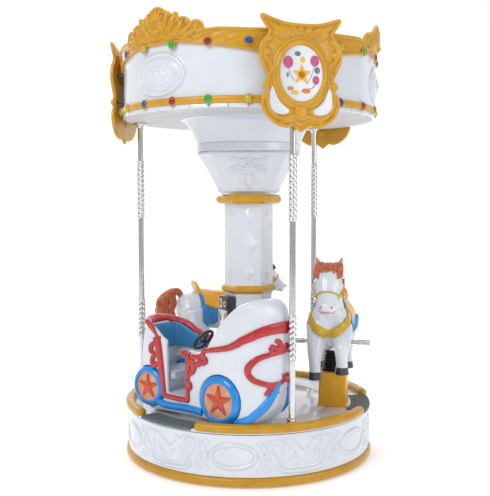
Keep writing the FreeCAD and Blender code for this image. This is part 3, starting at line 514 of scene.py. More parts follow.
GEMS = {
    "green": finish(
        "gem_green", (0.004, 0.42, 0.05), (0.01, 0.58, 0.10), 0.07, coat=1.0, grain=120, bump=0.02,
        clear=0.25,
    ),
    "red": finish(
        "gem_red", (0.26, 0.006, 0.010), (0.40, 0.012, 0.02), 0.07, coat=1.0, grain=120, bump=0.02,
        clear=0.25,
    ),
    "blue": finish(
        "gem_blue", (0.010, 0.045, 0.30), (0.02, 0.09, 0.46), 0.07, coat=1.0, grain=120, bump=0.02,
        clear=0.25,
    ),
    "yellow": finish(
        "gem_yellow", (0.60, 0.46, 0.01), (0.78, 0.60, 0.03), 0.07, coat=1.0, grain=120, bump=0.02,
        clear=0.25,
    ),
}

NODE_FINISH = {
    "base_frame": STEEL, "platform_frame": STEEL, "canopy_frame": STEEL, "column_core": STEEL,
    "slew_inner_ring": BRIGHT, "slew_gear_ring": BRIGHT, "drive_pinion": BRIGHT, "drive_gearmotor": MOTOR,
    "slip_ring_stator": BLACK, "slip_ring_rotor": BRASS, "control_cabinet": STEEL, "cable_gland": BLACK,
    "lift_gearmotors": MOTOR, "crank_1": BRIGHT, "crank_2": BRIGHT, "lift_rod_1": CHROME,
    "lift_rod_2": CHROME,
    "guide_bushes": BRASS,
}
for node, material in NODE_FINISH.items():
    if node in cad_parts:
        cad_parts[node].data.materials.clear()
        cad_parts[node].data.materials.append(material)


# ---- base and platform ------------------------------------------------------------------------


def bullnose(middle_r, z, r, height, start=0.0, sweep=360.0, steps=240):
    """A rounded rail round the axis. A rail that stops short of the full circle gets rounded ends."""
    a = np.linspace(0, 2 * math.pi, 28, endpoint=False)
    c, s = np.cos(a), np.sin(a)
    section = np.stack([np.sign(c) * np.abs(c) ** 0.85 * r, np.sign(s) * np.abs(s) ** 0.85 * height / 2], 1)
    if sweep >= 360:
        return lathe(section + (middle_r, z), steps)
    rings = []
    for t in np.linspace(0, 1, steps):
        along = min(t, 1 - t) * math.radians(sweep) * middle_r
        full = min(1.0, along / 0.016)
        size = max(0.05, (1 - (1 - full) ** 2.4) ** 0.5)
        p = section * size + (middle_r, z)
        b = math.radians(start + sweep * t)
        rings.append(np.stack([p[:, 0] * math.sin(b), -p[:, 0] * math.cos(b), p[:, 1]], 1))
    return skin_sections(rings)


piece(
    "base_rail", bullnose(0.5795, 0.025, 0.0205, 0.042), "base", RIM_GOLD, replaces=["lower_rim_ring"],
)


def skirt_relief():
    """The flat strip of the skirt: ovals, forked curls and lyre frames with crossed leaves."""
    clay = Clay()
    pitch = 2 * math.pi * SKIRT_R / 6
    length = pitch * 6
    v0 = (SKIRT_LOW + SKIRT_HIGH) / 2
    back = slab(
        [
            (-length / 2, SKIRT_LOW), (length / 2, SKIRT_LOW), (length / 2, SKIRT_HIGH),
            (-length / 2, SKIRT_HIGH),
        ],
        -0.008, 0.0,
    )
    clay.add(back)
    for i in range(-3, 4):
        shift = i * pitch
        part = Clay()
        a = np.linspace(0, 2 * math.pi, 56, endpoint=False)
        oval = np.stack([0.098 * np.cos(a), 0.050 * np.sin(a)], 1)
        part.add(bead(oval, 0.0062, 0.001, sides=10, closed=True))
        part.add(slab(oval * 0.86, -0.004, 0.0005, crown=0.004))
        for sx in (-1, 1):
            for sz in (-1, 1):
                lead = [(0.112, 0.004), (0.126, 0.016), (0.128, 0.034), (0.116, 0.050)]
                t = np.array(smooth_line(lead, 6)) * (sx, sz)
                part.add(bead(t, np.linspace(0.007, 0.0035, len(t))))
                coil = spiral((0.112, 0.058), 0.003, 0.0105, 10, 1.1) * (sx, sz)
                part.add(bead(coil, 0.0038))
                bud = np.array([(0.130, 0.020), (0.147, 0.026), (0.158, 0.016)]) * (sx, sz)
                part.add(bead(smooth_line(bud, 5), np.linspace(0.0052, 0.002, 11)))
            part.add(leaf((0.112 * sx, 0), (0.142 * sx, 0), 0.016, 0.006))
        clay.add(part.mesh(), lambda p, s=shift: p + (s, v0, 0))
        if i == 3:
            continue
        lyre = Clay()
        side = smooth_line(
            [
                (0.122, 0.052), (0.140, 0.062), (0.152, 0.048), (0.138, 0.014), (0.120, -0.016),
                (0.112, -0.046), (0.088, -0.066), (0.04, -0.071), (0.0, -0.072),
            ],
            7,
        )
        lyre.mirrored(bead(side, np.linspace(0.004, 0.0075, len(side)), sides=9))
        inner = smooth_line(
            [
                (0.098, 0.060), (0.094, 0.030), (0.098, 0.0), (0.093, -0.030), (0.072, -0.050),
                (0.03, -0.055), (0.0, -0.055),
            ],
            6,
        )
        lyre.mirrored(bead(inner, np.linspace(0.005, 0.0035, len(inner))))
        lyre.mirrored(bead(spiral((0.108, 0.060), 0.003, 0.013, -40, 1.2), 0.0045))
        for base, tip, width in (
            ((-0.082, 0.064), (0.018, -0.034), 0.034), ((0.086, 0.066), (-0.012, 0.004), 0.030),
            ((-0.052, 0.068), (-0.070, -0.012), 0.020), ((0.030, 0.070), (0.056, 0.010), 0.022),
            ((0.070, 0.020), (0.040, -0.046), 0.020), ((-0.066, -0.008), (-0.036, -0.050), 0.020),
        ):
            lyre.add(leaf(base, tip, width, 0.0075, bend=0.012))
        drape = smooth_line(
            [(-0.090, 0.070), (-0.04, 0.030), (0.0, -0.02), (0.03, 0.03), (0.092, 0.072)], 8,
        )
        lyre.add(bead(drape, np.linspace(0.006, 0.005, len(drape))))
        for sx in (-1, 1):
            lyre.add(leaf((0.150 * sx, 0.010), (0.128 * sx, -0.055), 0.022, 0.006, bend=-0.006 * sx))
            edge = np.array([(0.160, 0.066), (0.176, 0.040), (0.160, 0.0), (0.150, -0.04), (0.162, -0.064)])
            lyre.add(bead(smooth_line(edge * (sx, 1), 6), np.linspace(0.0035, 0.006, 25)))
        clay.add(lyre.mesh(), lambda p, s=shift: p + (s + pitch / 2, v0, 0))
    flat, faces = melt(clay.mesh(), 0.0028, 2, 0.45)
    edge = length / 2
    return (flat, faces), edge


strip, strip_edge = skirt_relief()
inside = np.abs(strip[0][:, 0]) < strip_edge - 0.0005
keep = [f for f in strip[1] if all(inside[i] for i in f)]
used = sorted({i for f in keep for i in f})
renumber = {old: new for new, old in enumerate(used)}
strip = (strip[0][used], [tuple(renumber[i] for i in f) for f in keep])
piece(
    "skirt", (wrap(strip[0], SKIRT_R, -6.5), strip[1]), "base", WHITE, replaces=["skirt_panels"],
)

deck_line = [
    (0.112, 0.2335), (0.5905, 0.2335), (0.5925, 0.236), (0.5925, 0.2425), (0.590, DECK_Z),
    (0.40, DECK_Z + 0.0004),
    (0.398, DECK_Z - 0.0008), (0.395, DECK_Z + 0.0004), (0.114, DECK_Z), (0.112, DECK_Z - 0.002),
]
wells = Clay()
for key in ("1", "2"):
    well = upright([(-0.079, -0.4795), (0.079, -0.4795), (0.079, -0.3605), (-0.079, -0.3605)], 0.22, 0.26)
    wells.add(well, lambda p, a=STATIONS[key]: turn(p, a))
floor = cut_away(lathe(deck_line, 240), wells.mesh())
piece("platform_floor", floor, "turntable", WHITE, sharp=40, replaces=["deck"])

rail = Clay()
for azimuth in STATIONS.values():
    rail.add(
        bullnose(
            0.5795, (RIM_LOW + RIM_HIGH) / 2, 0.0225, RIM_HIGH - RIM_LOW - 0.001, azimuth + 16.5, 87, 170,
        )
    )
piece("platform_rail", rail.mesh(), "turntable", RIM_GOLD, replaces=["rim_segments"])

tread = Clay()
for azimuth in STATIONS.values():
    ribs = [(0.502, 0.2455)]
    for i in range(10):
        r = 0.504 + 0.0082 * i
        ribs += [(r, 0.2485), (r + 0.0012, 0.2508), (r + 0.0050, 0.2508), (r + 0.0062, 0.2485)]
    ribs += [
        (0.589, 0.2500), (0.5935, 0.2485), (0.595, 0.244), (0.595, 0.2375), (0.593, 0.2375),
        (0.590, 0.2455),
    ]
    tread.add(lathe(ribs, 40, azimuth - 15.2, 30.4))
piece("tread_mats", tread.mesh(), "turntable", RUBBER, sharp=35, replaces=["tread_pads"])


# ---- column -----------------------------------------------------------------------------------


def rounded_polygon(corners, fillet, steps=5):
    """A flat outline with its corners rounded."""
    p = np.asarray(corners, float)
    out = []
    n = len(p)
    for i in range(n):
        b, a, c = p[i], p[i - 1], p[(i + 1) % n]
        ab, cb = (a - b) / np.linalg.norm(a - b), (c - b) / np.linalg.norm(c - b)
        half = math.acos(max(-1, min(1, float(np.dot(ab, cb))))) / 2
        cut = fillet / math.tan(half)
        start, end = b + ab * cut, b + cb * cut
        for t in np.linspace(0, 1, steps + 1):
            out.append((1 - t) ** 2 * start + 2 * t * (1 - t) * b + t**2 * end)
    return np.array(out)


def hexagon(radius, fillet=0.006):
    a = np.radians(30 + 60 * np.arange(6))
    return rounded_polygon(np.stack([radius * np.sin(a), -radius * np.cos(a)], 1), fillet)


def three_sided(half_width, apothem, fillet=0.012):
    """A triangle with cut corners, a wide face to the front."""
    corners = []
    for i in range(3):
        for side in (-1, 1):
            corners.append(turn([(side * half_width, -apothem, 0)], 120 * i)[0, :2])
    return rounded_polygon(corners, fillet)


def stacked(levels, outline):
    """Outlines stacked up the axis. levels gives the height and the outline's arguments."""
    return skin_sections([np.c_[outline(*args), np.full(len(outline(*args)), z)] for z, *args in levels])


base_shell = [
    (0.2455, 0.1175), (0.252, 0.1178), (0.258, 0.113), (0.50, 0.1132), (0.760, 0.113), (0.777, 0.118),
]
piece(
    "column_foot", stacked(base_shell, hexagon), "turntable", WHITE, sharp=50,
    replaces=["column_base_shell"],
)


def collar_ring(low, high, radius, name, node):
    z = (low + high) / 2
    h = (high - low) / 2
    levels = [
        (low, radius * 0.78), (low + 0.001, radius - 0.016), (low + 0.005, radius - 0.009),
        (z - h * 0.35, radius - 0.001),
        (z + h * 0.35, radius - 0.001), (high - 0.005, radius - 0.009), (high - 0.001, radius - 0.016),
        (high, radius * 0.78),
    ]
    piece(name, stacked(levels, hexagon), "turntable", GOLD, sharp=50, replaces=[node])


collar_ring(0.777, 0.817, 0.135, "lower_collar", "lower_column_ring")
collar_ring(1.209, 1.255, 0.160, "upper_collar", "upper_column_ring")


def stud(half_width, middle, half_height, depth):
    """A four-sided pyramid with softened ridges on a flat wall, as (across, up, out)."""
    rings = []
    for share, lift in ((1.0, -0.004), (0.97, 0.0004), (0.5, 0.52), (0.12, 0.93), (0.03, 1.0)):
        ring = []
        corners = [(half_width, 0), (0, half_height), (-half_width, 0), (0, -half_height)]
        outline = rounded_polygon(np.array(corners) * share, 0.0018 * share, 3)
        for x, y in outline:
            ring.append((x, middle + y, lift if lift < 0 else lift * depth))
        rings.append(ring)
    return skin_sections(rings)


shaft_face = 0.119 * math.cos(math.radians(30))
shaft = Clay().add(stacked([(0.815, 0.119), (0.9, 0.119), (1.10, 0.119), (1.211, 0.119)], hexagon))
for i in range(6):
    for half_width, middle, half_height, depth in (
        (0.044, 1.013, 0.080, 0.017), (0.033, 0.879, 0.046, 0.012), (0.033, 1.147, 0.046, 0.012),
    ):
        shaft.add(stud(half_width, middle, half_height, depth), lambda p, a=60 * i: stand(p, shaft_face, a))
piece(
    "column_shaft_shell", shaft.mesh(), "turntable", WHITE, sharp=30, replaces=["column_shaft"],
)


def capital_levels():
    levels = [(1.253, 0.106, 0.094), (1.262, 0.108, 0.096), (1.270, 0.121, 0.108), (1.276, 0.119, 0.105)]
    for t in np.linspace(0.08, 1, 12):
        s = t**1.15
        levels.append((1.276 + 0.160 * t, 0.119 + 0.059 * s, 0.105 + 0.068 * s))
    return levels + [
        (1.438, 0.184, 0.175), (1.442, 0.186, 0.177), (1.452, 0.186, 0.177), (1.457, 0.181, 0.172),
        (1.457, 0.10, 0.09),
    ]


def capital_flower():
    """A raised rosette over two scrolls and a hanging leaf, as (across, up, out)."""
    clay = Clay()
    for i in range(8):
        a = 2 * math.pi * i / 8
        clay.add(
            leaf(
                (0.006 * math.cos(a), 0.006 * math.sin(a)), (0.032 * math.cos(a), 0.032 * math.sin(a)),
                0.018, 0.011,
            )
        )
    clay.add(blob((0, 0, 0.006), (0.010, 0.010, 0.010)))
    for i in range(3):
        clay.mirrored(
            leaf(
                (0.010 + 0.012 * i, -0.020 - 0.016 * i), (0.052 - 0.006 * i, -0.026 - 0.026 * i), 0.022,
                0.007, bend=0.006,
            )
        )
    scroll = [
        (0.030, 0.0), (0.052, 0.012), (0.078, 0.010), (0.088, -0.006), (0.074, -0.014), (0.066, -0.004),
    ]
    clay.mirrored(bead(smooth_line(scroll, 6), np.linspace(0.008, 0.004, 31)))
    swag = [(0.0, 0.052), (0.03, 0.044), (0.06, 0.046), (0.10, 0.058)]
    clay.mirrored(bead(smooth_line(swag, 6), 0.0065))
    clay.add(leaf((0, -0.024), (0, -0.098), 0.034, 0.012))
    return clay.mesh()


capital = Clay().add(stacked(capital_levels(), three_sided))
lean = math.atan2(0.068, 0.160)
for i in range(3):
    def lay(p, a=120 * i):
        up = 1.372 + p[:, 1] * math.cos(lean)
        out = 0.105 + 0.068 * np.clip((up - 1.276) / 0.160, 0, 1) ** 1.15 + p[:, 2]
        return stand(np.stack([p[:, 0] * 0.92, up, out], 1), 0.0, a)

    capital.add(capital_flower(), lay)
capital_mesh = melt(capital.mesh(), 0.0033, 2, 0.4)
piece("capital_head", capital_mesh, "turntable", WHITE, replaces=["capital"])


# ---- canopy -----------------------------------------------------------------------------------

bowl = [
    (0.120, 1.4572), (0.250, 1.4572), (0.2535, 1.460), (0.2535, 1.4925), (0.2505, 1.496), (0.2525, 1.4985),
    (0.2575, 1.512), (0.264, 1.528), (0.2735, 1.548), (0.285, 1.567), (0.299, 1.586), (0.315, 1.603),
    (0.326, 1.6085),
    (0.330, 1.6085), (0.330, 1.612), (0.314, 1.612), (0.296, 1.592), (0.27, 1.55), (0.248, 1.50),
    (0.120, 1.50),
]
piece(
    "canopy_bowl", lathe(bowl, 240), "turntable", WHITE, sharp=40, replaces=["canopy_ceiling"],
)
ceiling = [
    (0.324, 1.6092), (0.44, 1.6088), (0.442, 1.6100), (0.445, 1.6088), (0.5915, 1.6088), (0.593, 1.611),
    (0.593, 1.6145), (0.324, 1.6145),
]
piece("canopy_soffit", lathe(ceiling, 240), "turntable", CREAM, sharp=40)

lip = Clay()
for i in range(45):
    joint = [
        (0.5925, 1.6095), (0.6015, 1.6095), (0.6040, 1.612), (0.6040, 1.625), (0.602, 1.628),
        (0.5925, 1.628),
    ]
    lip.add(lathe(joint, 6, 8 * i + 0.12, 7.76))
piece("canopy_lip", lip.mesh(), "turntable", WHITE, sharp=35)
piece(
    "lower_rail", bullnose(0.6025, 1.643, 0.0098, 0.031), "turntable", GOLD, replaces=["lower_band"],
)

roof = [(0.001, 1.902), (0.30, 1.881), (0.592, 1.859), (0.592, 1.864), (0.30, 1.887), (0.001, 1.907)]
piece(
    "canopy_cover", lathe(roof, 160), "turntable", WHITE, sharp=40, replaces=["canopy_roof"],
)

THIRD_LENGTH = CANOPY_R * 2 * math.pi / 3


def ellipse(centre, half, count=64):
    a = np.linspace(0, 2 * math.pi, count, endpoint=False)
    return np.stack([centre[0] + half[0] * np.cos(a), centre[1] + half[1] * np.sin(a)], 1)


def trimmed(mesh, half_length):
    """Drops the end faces of a flat strip, so that its neighbours meet it edge to edge."""
    points, faces = mesh
    inside = np.abs(points[:, 0]) < half_length
    return points, [f for f in faces if all(inside[i] for i in f)]


def compact(mesh):
    """The same mesh without its unused points."""
    points, faces = mesh
    used = sorted({i for f in faces for i in f})
    new = {old: k for k, old in enumerate(used)}
    return points[used], [tuple(new[i] for i in f) for f in faces]


def frieze():
    """One third of the white canopy wall, with its cameo and soft scrolls."""
    clay = Clay()
    h = THIRD_LENGTH / 2 + 0.006
    clay.add(slab([(-h, 1.652), (h, 1.652), (h, 1.896), (-h, 1.896)], -0.008, 0.0))
    centre = (0, 1.762)
    clay.add(bead(ellipse(centre, (0.134, 0.085)), 0.0075, 0.003, sides=12, closed=True))
    clay.add(slab(ellipse(centre, (0.128, 0.079)), -0.004, 0.002, crown=0.014))
    clay.add(bead(ellipse(centre, (0.096, 0.058)), 0.0042, 0.010, sides=10, closed=True))
    for i in range(7):
        a = 2 * math.pi * i / 7
        base = (centre[0] + 0.006 * math.cos(a), centre[1] + 0.005 * math.sin(a))
        tip = (centre[0] + 0.050 * math.cos(a), centre[1] + 0.036 * math.sin(a))
        clay.add(leaf(base, tip, 0.026, 0.007, out=0.016))
    clay.add(blob((*centre, 0.021), (0.012, 0.011, 0.007)))
    flat = melt(clay.mesh(), 0.0034, 3, 0.5)
    return compact(trimmed(flat, THIRD_LENGTH / 2 + 0.0008))


def thirds(flat, radius, azimuths):
    clay = Clay()
    for azimuth in azimuths:
        clay.add(flat, lambda p, a=azimuth: wrap(p, radius, a))
    return clay.mesh()


piece(
    "canopy_wall", thirds(frieze(), CANOPY_R - 0.001, STATIONS.values()), "turntable", WHITE,
    replaces=["canopy_panels"],
)


def arch(degrees):
    """Height of the gold cornice's lower edge, so many degrees from a rider's station."""
    return 1.888 - 0.00088 * max(0.0, abs(degrees) - 9) ** 1.15


def cornice():
    """One third of the gold cornice with the crest over a rider's station."""
    clay = Clay()
    half = THIRD_LENGTH / 2 + 0.004
    u = np.linspace(-half, half, 91)
    low = np.stack([u, [arch(math.degrees(x / CANOPY_R)) for x in u]], 1)
    top = np.stack([u, 1.930 + 0.006 * np.exp(-((np.abs(u) - 0.30) ** 2) / 0.006)], 1)
    strip_points, strip_faces = [], []
    for a, b in zip(low, top):
        strip_points += [
            (a[0], a[1], -0.006), (b[0], b[1], -0.006), (b[0], b[1], 0.008), (a[0], a[1], 0.008),
        ]
    for i in range(len(u) - 1):
        k = 4 * i
        for j in range(4):
            strip_faces.append((k + j, k + (j + 1) % 4, k + 4 + (j + 1) % 4, k + 4 + j))
    strip_faces += [(0, 3, 2, 1), tuple(4 * (len(u) - 1) + j for j in range(4))]
    clay.add((np.array(strip_points), strip_faces))
    clay.add(bead(low + (0, 0.004), 0.0052, 0.008, sides=10))
    clay.add(bead(top - (0, 0.004), 0.0068, 0.007, sides=10))
    shell_root = np.array([0.0, 1.938])
    for lobe, z, r in (
        (0.0, 1.978, 0.068), (0.040, 1.970, 0.056), (0.073, 1.956, 0.052), (0.136, 1.944, 0.046),
        (0.199, 1.936, 0.036),
    ):
        clay.mirrored(slab(ellipse((lobe, z), (r * 0.94, r * 0.97), 40), -0.004, 0.009))
        clay.mirrored(bead(ellipse((lobe, z), (r * 0.92, r * 0.95), 48), 0.0055, 0.009, closed=True))
    for i in range(-4, 5):
        a = math.radians(90 - 19 * i)
        tip = shell_root + 0.106 * np.array([math.cos(a) * 0.66, math.sin(a)]) * (1 - 0.02 * i * i)
        clay.add(leaf(shell_root, tip, 0.026, 0.019, out=0.010))
    clay.add(blob((0, 1.936, 0.014), (0.020, 0.017, 0.016)))
    for root, tip, width, bend in (
        ((0.040, 1.922), (0.096, 2.010), 0.040, -0.016), ((0.064, 1.918), (0.142, 1.984), 0.036, -0.016),
        ((0.096, 1.918), (0.184, 1.962), 0.032, -0.012), ((0.026, 1.930), (0.058, 2.026), 0.030, -0.012),
        ((0.130, 1.914), (0.206, 1.936), 0.026, -0.008),
    ):
        clay.mirrored(leaf(root, tip, width, 0.016, bend=bend, out=0.010))
    for at, size, start in (
        ((0.106, 1.998), 0.013, 20), ((0.158, 1.968), 0.012, 10), ((0.196, 1.944), 0.010, 0),
    ):
        clay.mirrored(bead(spiral(at, 0.003, size, start, 1.3), 0.0052, 0.012))
    for root, tip, width in (
        ((0.215, 1.905), (0.272, 1.921), 0.018), ((0.270, 1.896), (0.330, 1.912), 0.018),
        ((0.335, 1.886), (0.395, 1.906), 0.020),
        ((0.400, 1.874), (0.460, 1.900), 0.022), ((0.465, 1.862), (0.520, 1.893), 0.024),
    ):
        clay.mirrored(leaf(root, tip, width, 0.007, bend=0.004, out=0.006))
    flat = melt(clay.mesh(), 0.0030, 2, 0.45)
    return compact(trimmed(flat, THIRD_LENGTH / 2 + 0.001))


piece(
    "cornice_and_crests", thirds(cornice(), CANOPY_R + 0.001, STATIONS.values()), "turntable", GOLD,
    replaces=["upper_band", "crests"],
)


def gem(radius, height):
    """A faceted stone, table up, as (across, up, out)."""
    sides = 8
    rings = []
    for share, level, half_turn in ((0.92, -0.25, 0), (1.0, 0.1, 0), (0.80, 0.62, 0.5), (0.52, 1.0, 0)):
        a = 2 * math.pi * (np.arange(sides) + half_turn + 0.5) / sides
        rings.append(
            np.stack(
                [radius * share * np.cos(a), radius * share * np.sin(a), np.full(sides, height * level)], 1,
            )
        )
    return skin_sections(rings)


stones = {colour: Clay() for colour in GEMS}
bezels = Clay()
rows = (
    (1.643, 0.6125, 0.0180, ("green", "yellow", "blue", "red")),
    (1.880, 0.6140, 0.0175, ("red", "blue", "yellow", "green")),
)
for z, radius, size, order in rows:
    count = 0
    for azimuth in STATIONS.values():
        for i in range(6):
            at = azimuth + 16 * (i - 2.5)
            stones[order[count % 4]].add(
                gem(size, 0.009), lambda p, r=radius, a=at, h=z: wrap(p + (0, h, 0), r, a),
            )
            ring = bead(ellipse((0, z), (size + 0.0006, size + 0.0006), 28), 0.0022, sides=7, closed=True)
            bezels.add(ring, lambda p, r=radius - 0.0005, a=at: wrap(p, r, a))
            count += 1
for colour, clay in stones.items():
    piece(
        f"lamps_{colour}", clay.mesh(), "turntable", GEMS[colour], smooth=False,
        replaces=["gem_lamps"] if colour == "green" else [],
    )
piece("lamp_bezels", bezels.mesh(), "turntable", GOLD)


# ---- shields ----------------------------------------------------------------------------------


def mirrored_outline(right_half):
    """A closed outline from its right half, listed from the top centre to the bottom centre."""
    half = np.array(right_half)
    return np.vstack([half, half[-2:0:-1] * (-1, 1)])


def shield():
    """The gold frame of one shield, as (across, up, out)."""
    edge_right = smooth_line(
        [
            (0, 1.944), (0.045, 1.945), (0.085, 1.949), (0.130, 1.960), (0.178, 1.974), (0.176, 1.960),
            (0.160, 1.936),
            (0.143, 1.915), (0.152, 1.892), (0.174, 1.868), (0.186, 1.838), (0.184, 1.800), (0.168, 1.766),
            (0.152, 1.738),
            (0.150, 1.716), (0.163, 1.704), (0.163, 1.688), (0.151, 1.676), (0.168, 1.658), (0.177, 1.634),
            (0.172, 1.602),
            (0.156, 1.574), (0.132, 1.552), (0.100, 1.536), (0.066, 1.530), (0.040, 1.536), (0.018, 1.524),
            (0, 1.512),
        ],
        4,
    )
    outline = mirrored_outline(edge_right)
    clay = Clay()
    clay.add(slab(outline, 0.0, 0.010))
    clay.add(bead(outline * (0.965, 1), 0.0072, 0.010, sides=10, closed=True))
    clay.add(bead(ellipse((0, 1.747), (0.107, 0.126), 90), 0.0105, 0.013, sides=12, closed=True))
    clay.add(bead(ellipse((0, 1.747), (0.124, 0.144), 90), 0.0052, 0.010, sides=10, closed=True))
    side = smooth_line(
        [
            (0.128, 1.884), (0.154, 1.868), (0.166, 1.838), (0.158, 1.806), (0.140, 1.788), (0.134, 1.760),
            (0.138, 1.736),
        ],
        8,
    )
    clay.scroll(raise_line(side, 0.012), 0.0075 * (0.6 + 0.5 * np.sin(np.linspace(0.2, 3.0, len(side)))))
    clay.mirrored(bead(spiral((0.146, 1.884), 0.003, 0.013, 200, 1.4), 0.0052, 0.013))
    clay.mirrored(bead(spiral((0.150, 1.826), 0.003, 0.015, 40, 1.5), 0.0052, 0.012))
    clay.mirrored(blob((0.154, 1.696, 0.010), (0.015, 0.016, 0.014)))
    for root, tip, width, thick in (
        ((0.0, 1.902), (0.0, 1.940), 0.036, 0.014), ((0.010, 1.900), (0.050, 1.937), 0.034, 0.013),
        ((0.030, 1.896), (0.098, 1.938), 0.034, 0.013), ((0.056, 1.888), (0.146, 1.952), 0.034, 0.012),
        ((0.074, 1.884), (0.130, 1.916), 0.026, 0.011), ((0.140, 1.668), (0.164, 1.630), 0.020, 0.010),
    ):
        clay.mirrored(leaf(root, tip, width, thick, out=0.009))
    clay.add(blob((0, 1.594, 0.012), (0.031, 0.027, 0.017)))
    chin = [(0.022, 1.612), (0.050, 1.617), (0.078, 1.634), (0.100, 1.662)]
    clay.mirrored(bead(smooth_line(chin, 7), 0.0085, 0.012, sides=9))
    low = smooth_line(
        [
            (0.0, 1.558), (0.032, 1.572), (0.070, 1.560), (0.106, 1.566), (0.134, 1.588), (0.150, 1.622),
            (0.146, 1.652),
        ],
        7,
    )
    clay.scroll(raise_line(low, 0.012), 0.0080)
    clay.mirrored(leaf((0.020, 1.556), (0.104, 1.546), 0.022, 0.009, out=0.008))
    return melt(clay.mesh(), 0.0029, 2, 0.45)


SHIELD_Y = 0.6225


def shield_at(azimuth):
    """The placement of (across, up, out) points on the shield at an azimuth."""
    return lambda p: stand(p, SHIELD_Y, azimuth)


teardrop = smooth_line(
    [
        (0.128, 1.690), (0.138, 1.668), (0.142, 1.636), (0.136, 1.606), (0.116, 1.584), (0.086, 1.577),
        (0.060, 1.583), (0.056, 1.597), (0.074, 1.611), (0.098, 1.634), (0.114, 1.664),
    ],
    6, closed=True,
)
frames, whites, grounds, mounts = Clay(), Clay(), Clay(), Clay()
shield_mesh = shield()
oval_field = ellipse((0, 1.747), (0.104, 0.122), 72)
for azimuth in POLES:
    lay = shield_at(azimuth)
    frames.add(shield_mesh, lay)
    for side in (-1, 1):
        whites.add(slab(teardrop * (side, 1), 0.004, 0.0125, crown=0.003), lay)
    grounds.add(slab(oval_field, 0.004, 0.0120, crown=0.003), lay)
    for x in (-0.128, 0.128):
        for z in (1.700, 1.822):
            mounts.add(tube([(x, z, -0.042), (x, z, 0.003)], 0.008, sides=16), lay)
piece("shield_frames", frames.mesh(), "turntable", GOLD, replaces=["shields"])
piece("shield_fields", whites.mesh(), "turntable", WHITE, sharp=50)
piece(
    "picture_grounds", grounds.mesh(), "turntable", WHITE, sharp=50, replaces=["shield_pictures"],
)
piece("shield_standoffs", mounts.mesh(), "turntable", STEEL, sharp=50)

PRINTS = {
    "yellow": finish("print_yellow", (0.86, 0.52, 0.03), (0.78, 0.42, 0.02), 0.35, grain=60),
    "orange": finish("print_orange", (0.80, 0.24, 0.02), (0.70, 0.17, 0.02), 0.35, grain=60),
    "pink": finish("print_pink", (0.60, 0.10, 0.24), (0.48, 0.06, 0.18), 0.35, grain=60),
    "grey": finish("print_grey", (0.16, 0.20, 0.26), (0.09, 0.12, 0.17), 0.35, grain=60),
}
star = []
for i in range(10):
    r = 0.046 if i % 2 == 0 else 0.021
    star.append((r * math.sin(math.pi * i / 5), 1.742 + r * math.cos(math.pi * i / 5)))
strings = [
    [(-0.058, 1.766), (-0.050, 1.740), (-0.030, 1.712)],
    [(0.056, 1.778), (0.046, 1.744), (0.024, 1.704)],
    [(0.062, 1.704), (0.050, 1.690), (0.030, 1.684)],
]
motifs = {
    "yellow": [
        rounded_polygon(star, 0.004, 3), ellipse((-0.030, 1.668), (0.016, 0.008), 20),
        ellipse((0.004, 1.802), (0.011, 0.013), 20),
    ],
    "orange": [
        ellipse((0, 1.741), (0.015, 0.015), 24), ellipse((0.020, 1.676), (0.020, 0.010), 20),
        ellipse((-0.050, 1.684), (0.014, 0.008), 20),
    ],
    "pink": [
        ellipse((-0.060, 1.790), (0.021, 0.025), 28), ellipse((0.058, 1.800), (0.019, 0.023), 28),
        ellipse((0.064, 1.722), (0.015, 0.018), 28),
    ],
    "grey": [
        ellipse((-0.018, 1.826), (0.013, 0.010), 20), ellipse((0.070, 1.762), (0.012, 0.014), 20),
        ellipse((-0.062, 1.738), (0.004, 0.010), 14),
    ],
}
for colour, shapes in motifs.items():
    clay = Clay()
    for azimuth in POLES:
        for shape in shapes:
            clay.add(slab(shape, 0.011, 0.0156), shield_at(azimuth))
        for path in strings if colour == "grey" else []:
            clay.add(bead(smooth_line(path, 5), 0.0011, 0.0148, sides=6), shield_at(azimuth))
    piece(f"picture_{colour}", clay.mesh(), "turntable", PRINTS[colour], sharp=50)


# ---- poles, pedestals and bellows -------------------------------------------------------------


def pole():
    """A plated pole with a flared foot, two barley-twist sleeves and a ceiling flange."""
    stops = [
        (0.2455, 0.0275), (0.2475, 0.0285), (0.2510, 0.0280), (0.254, 0.0235), (0.262, 0.0215),
        (0.283, 0.0205), (0.286, 0.0175), (0.289, 0.0142),
    ]
    for low, high in ((0.540, 0.727), (1.142, 1.417)):
        stops += [
            (low - 0.006, 0.0140), (low - 0.004, 0.0165), (low, 0.0182), (low + 0.005, 0.0182),
            (low + 0.008, 0.0160),
        ]
        stops += [(low + 0.0115, 0.0172)] + [
            (z, 0.0172) for z in np.arange(low + 0.014, high - 0.012, 0.0025)
        ]
        stops += [
            (high - 0.0115, 0.0172), (high - 0.008, 0.0160), (high - 0.005, 0.0182), (high, 0.0182),
            (high + 0.004, 0.0165), (high + 0.006, 0.0140),
        ]
    stops += [
        (1.585, 0.0140), (1.590, 0.0190), (1.5975, 0.0200), (1.5985, 0.0330), (1.6010, 0.0345),
        (1.6080, 0.0345), (1.6085, 0.031),
    ]
    rings = []
    a = np.linspace(0, 2 * math.pi, 36, endpoint=False)
    for z, r in stops:
        twisted = any(low + 0.0115 <= z <= high - 0.0115 for low, high in ((0.540, 0.727), (1.142, 1.417)))
        radius = r + (0.0014 * np.cos(3 * a - z * 260) if twisted else 0 * a)
        rings.append(np.stack([radius * np.cos(a), radius * np.sin(a) - POLE_AT, np.full(36, z)], 1))
    return skin_sections(rings)


poles = Clay()
for azimuth in POLES:
    poles.add(pole(), lambda p, a=azimuth: turn(p, a))
piece(
    "plated_poles", poles.mesh(), "turntable", CHROME, sharp=40, replaces=["poles", "pole_fittings"],
)


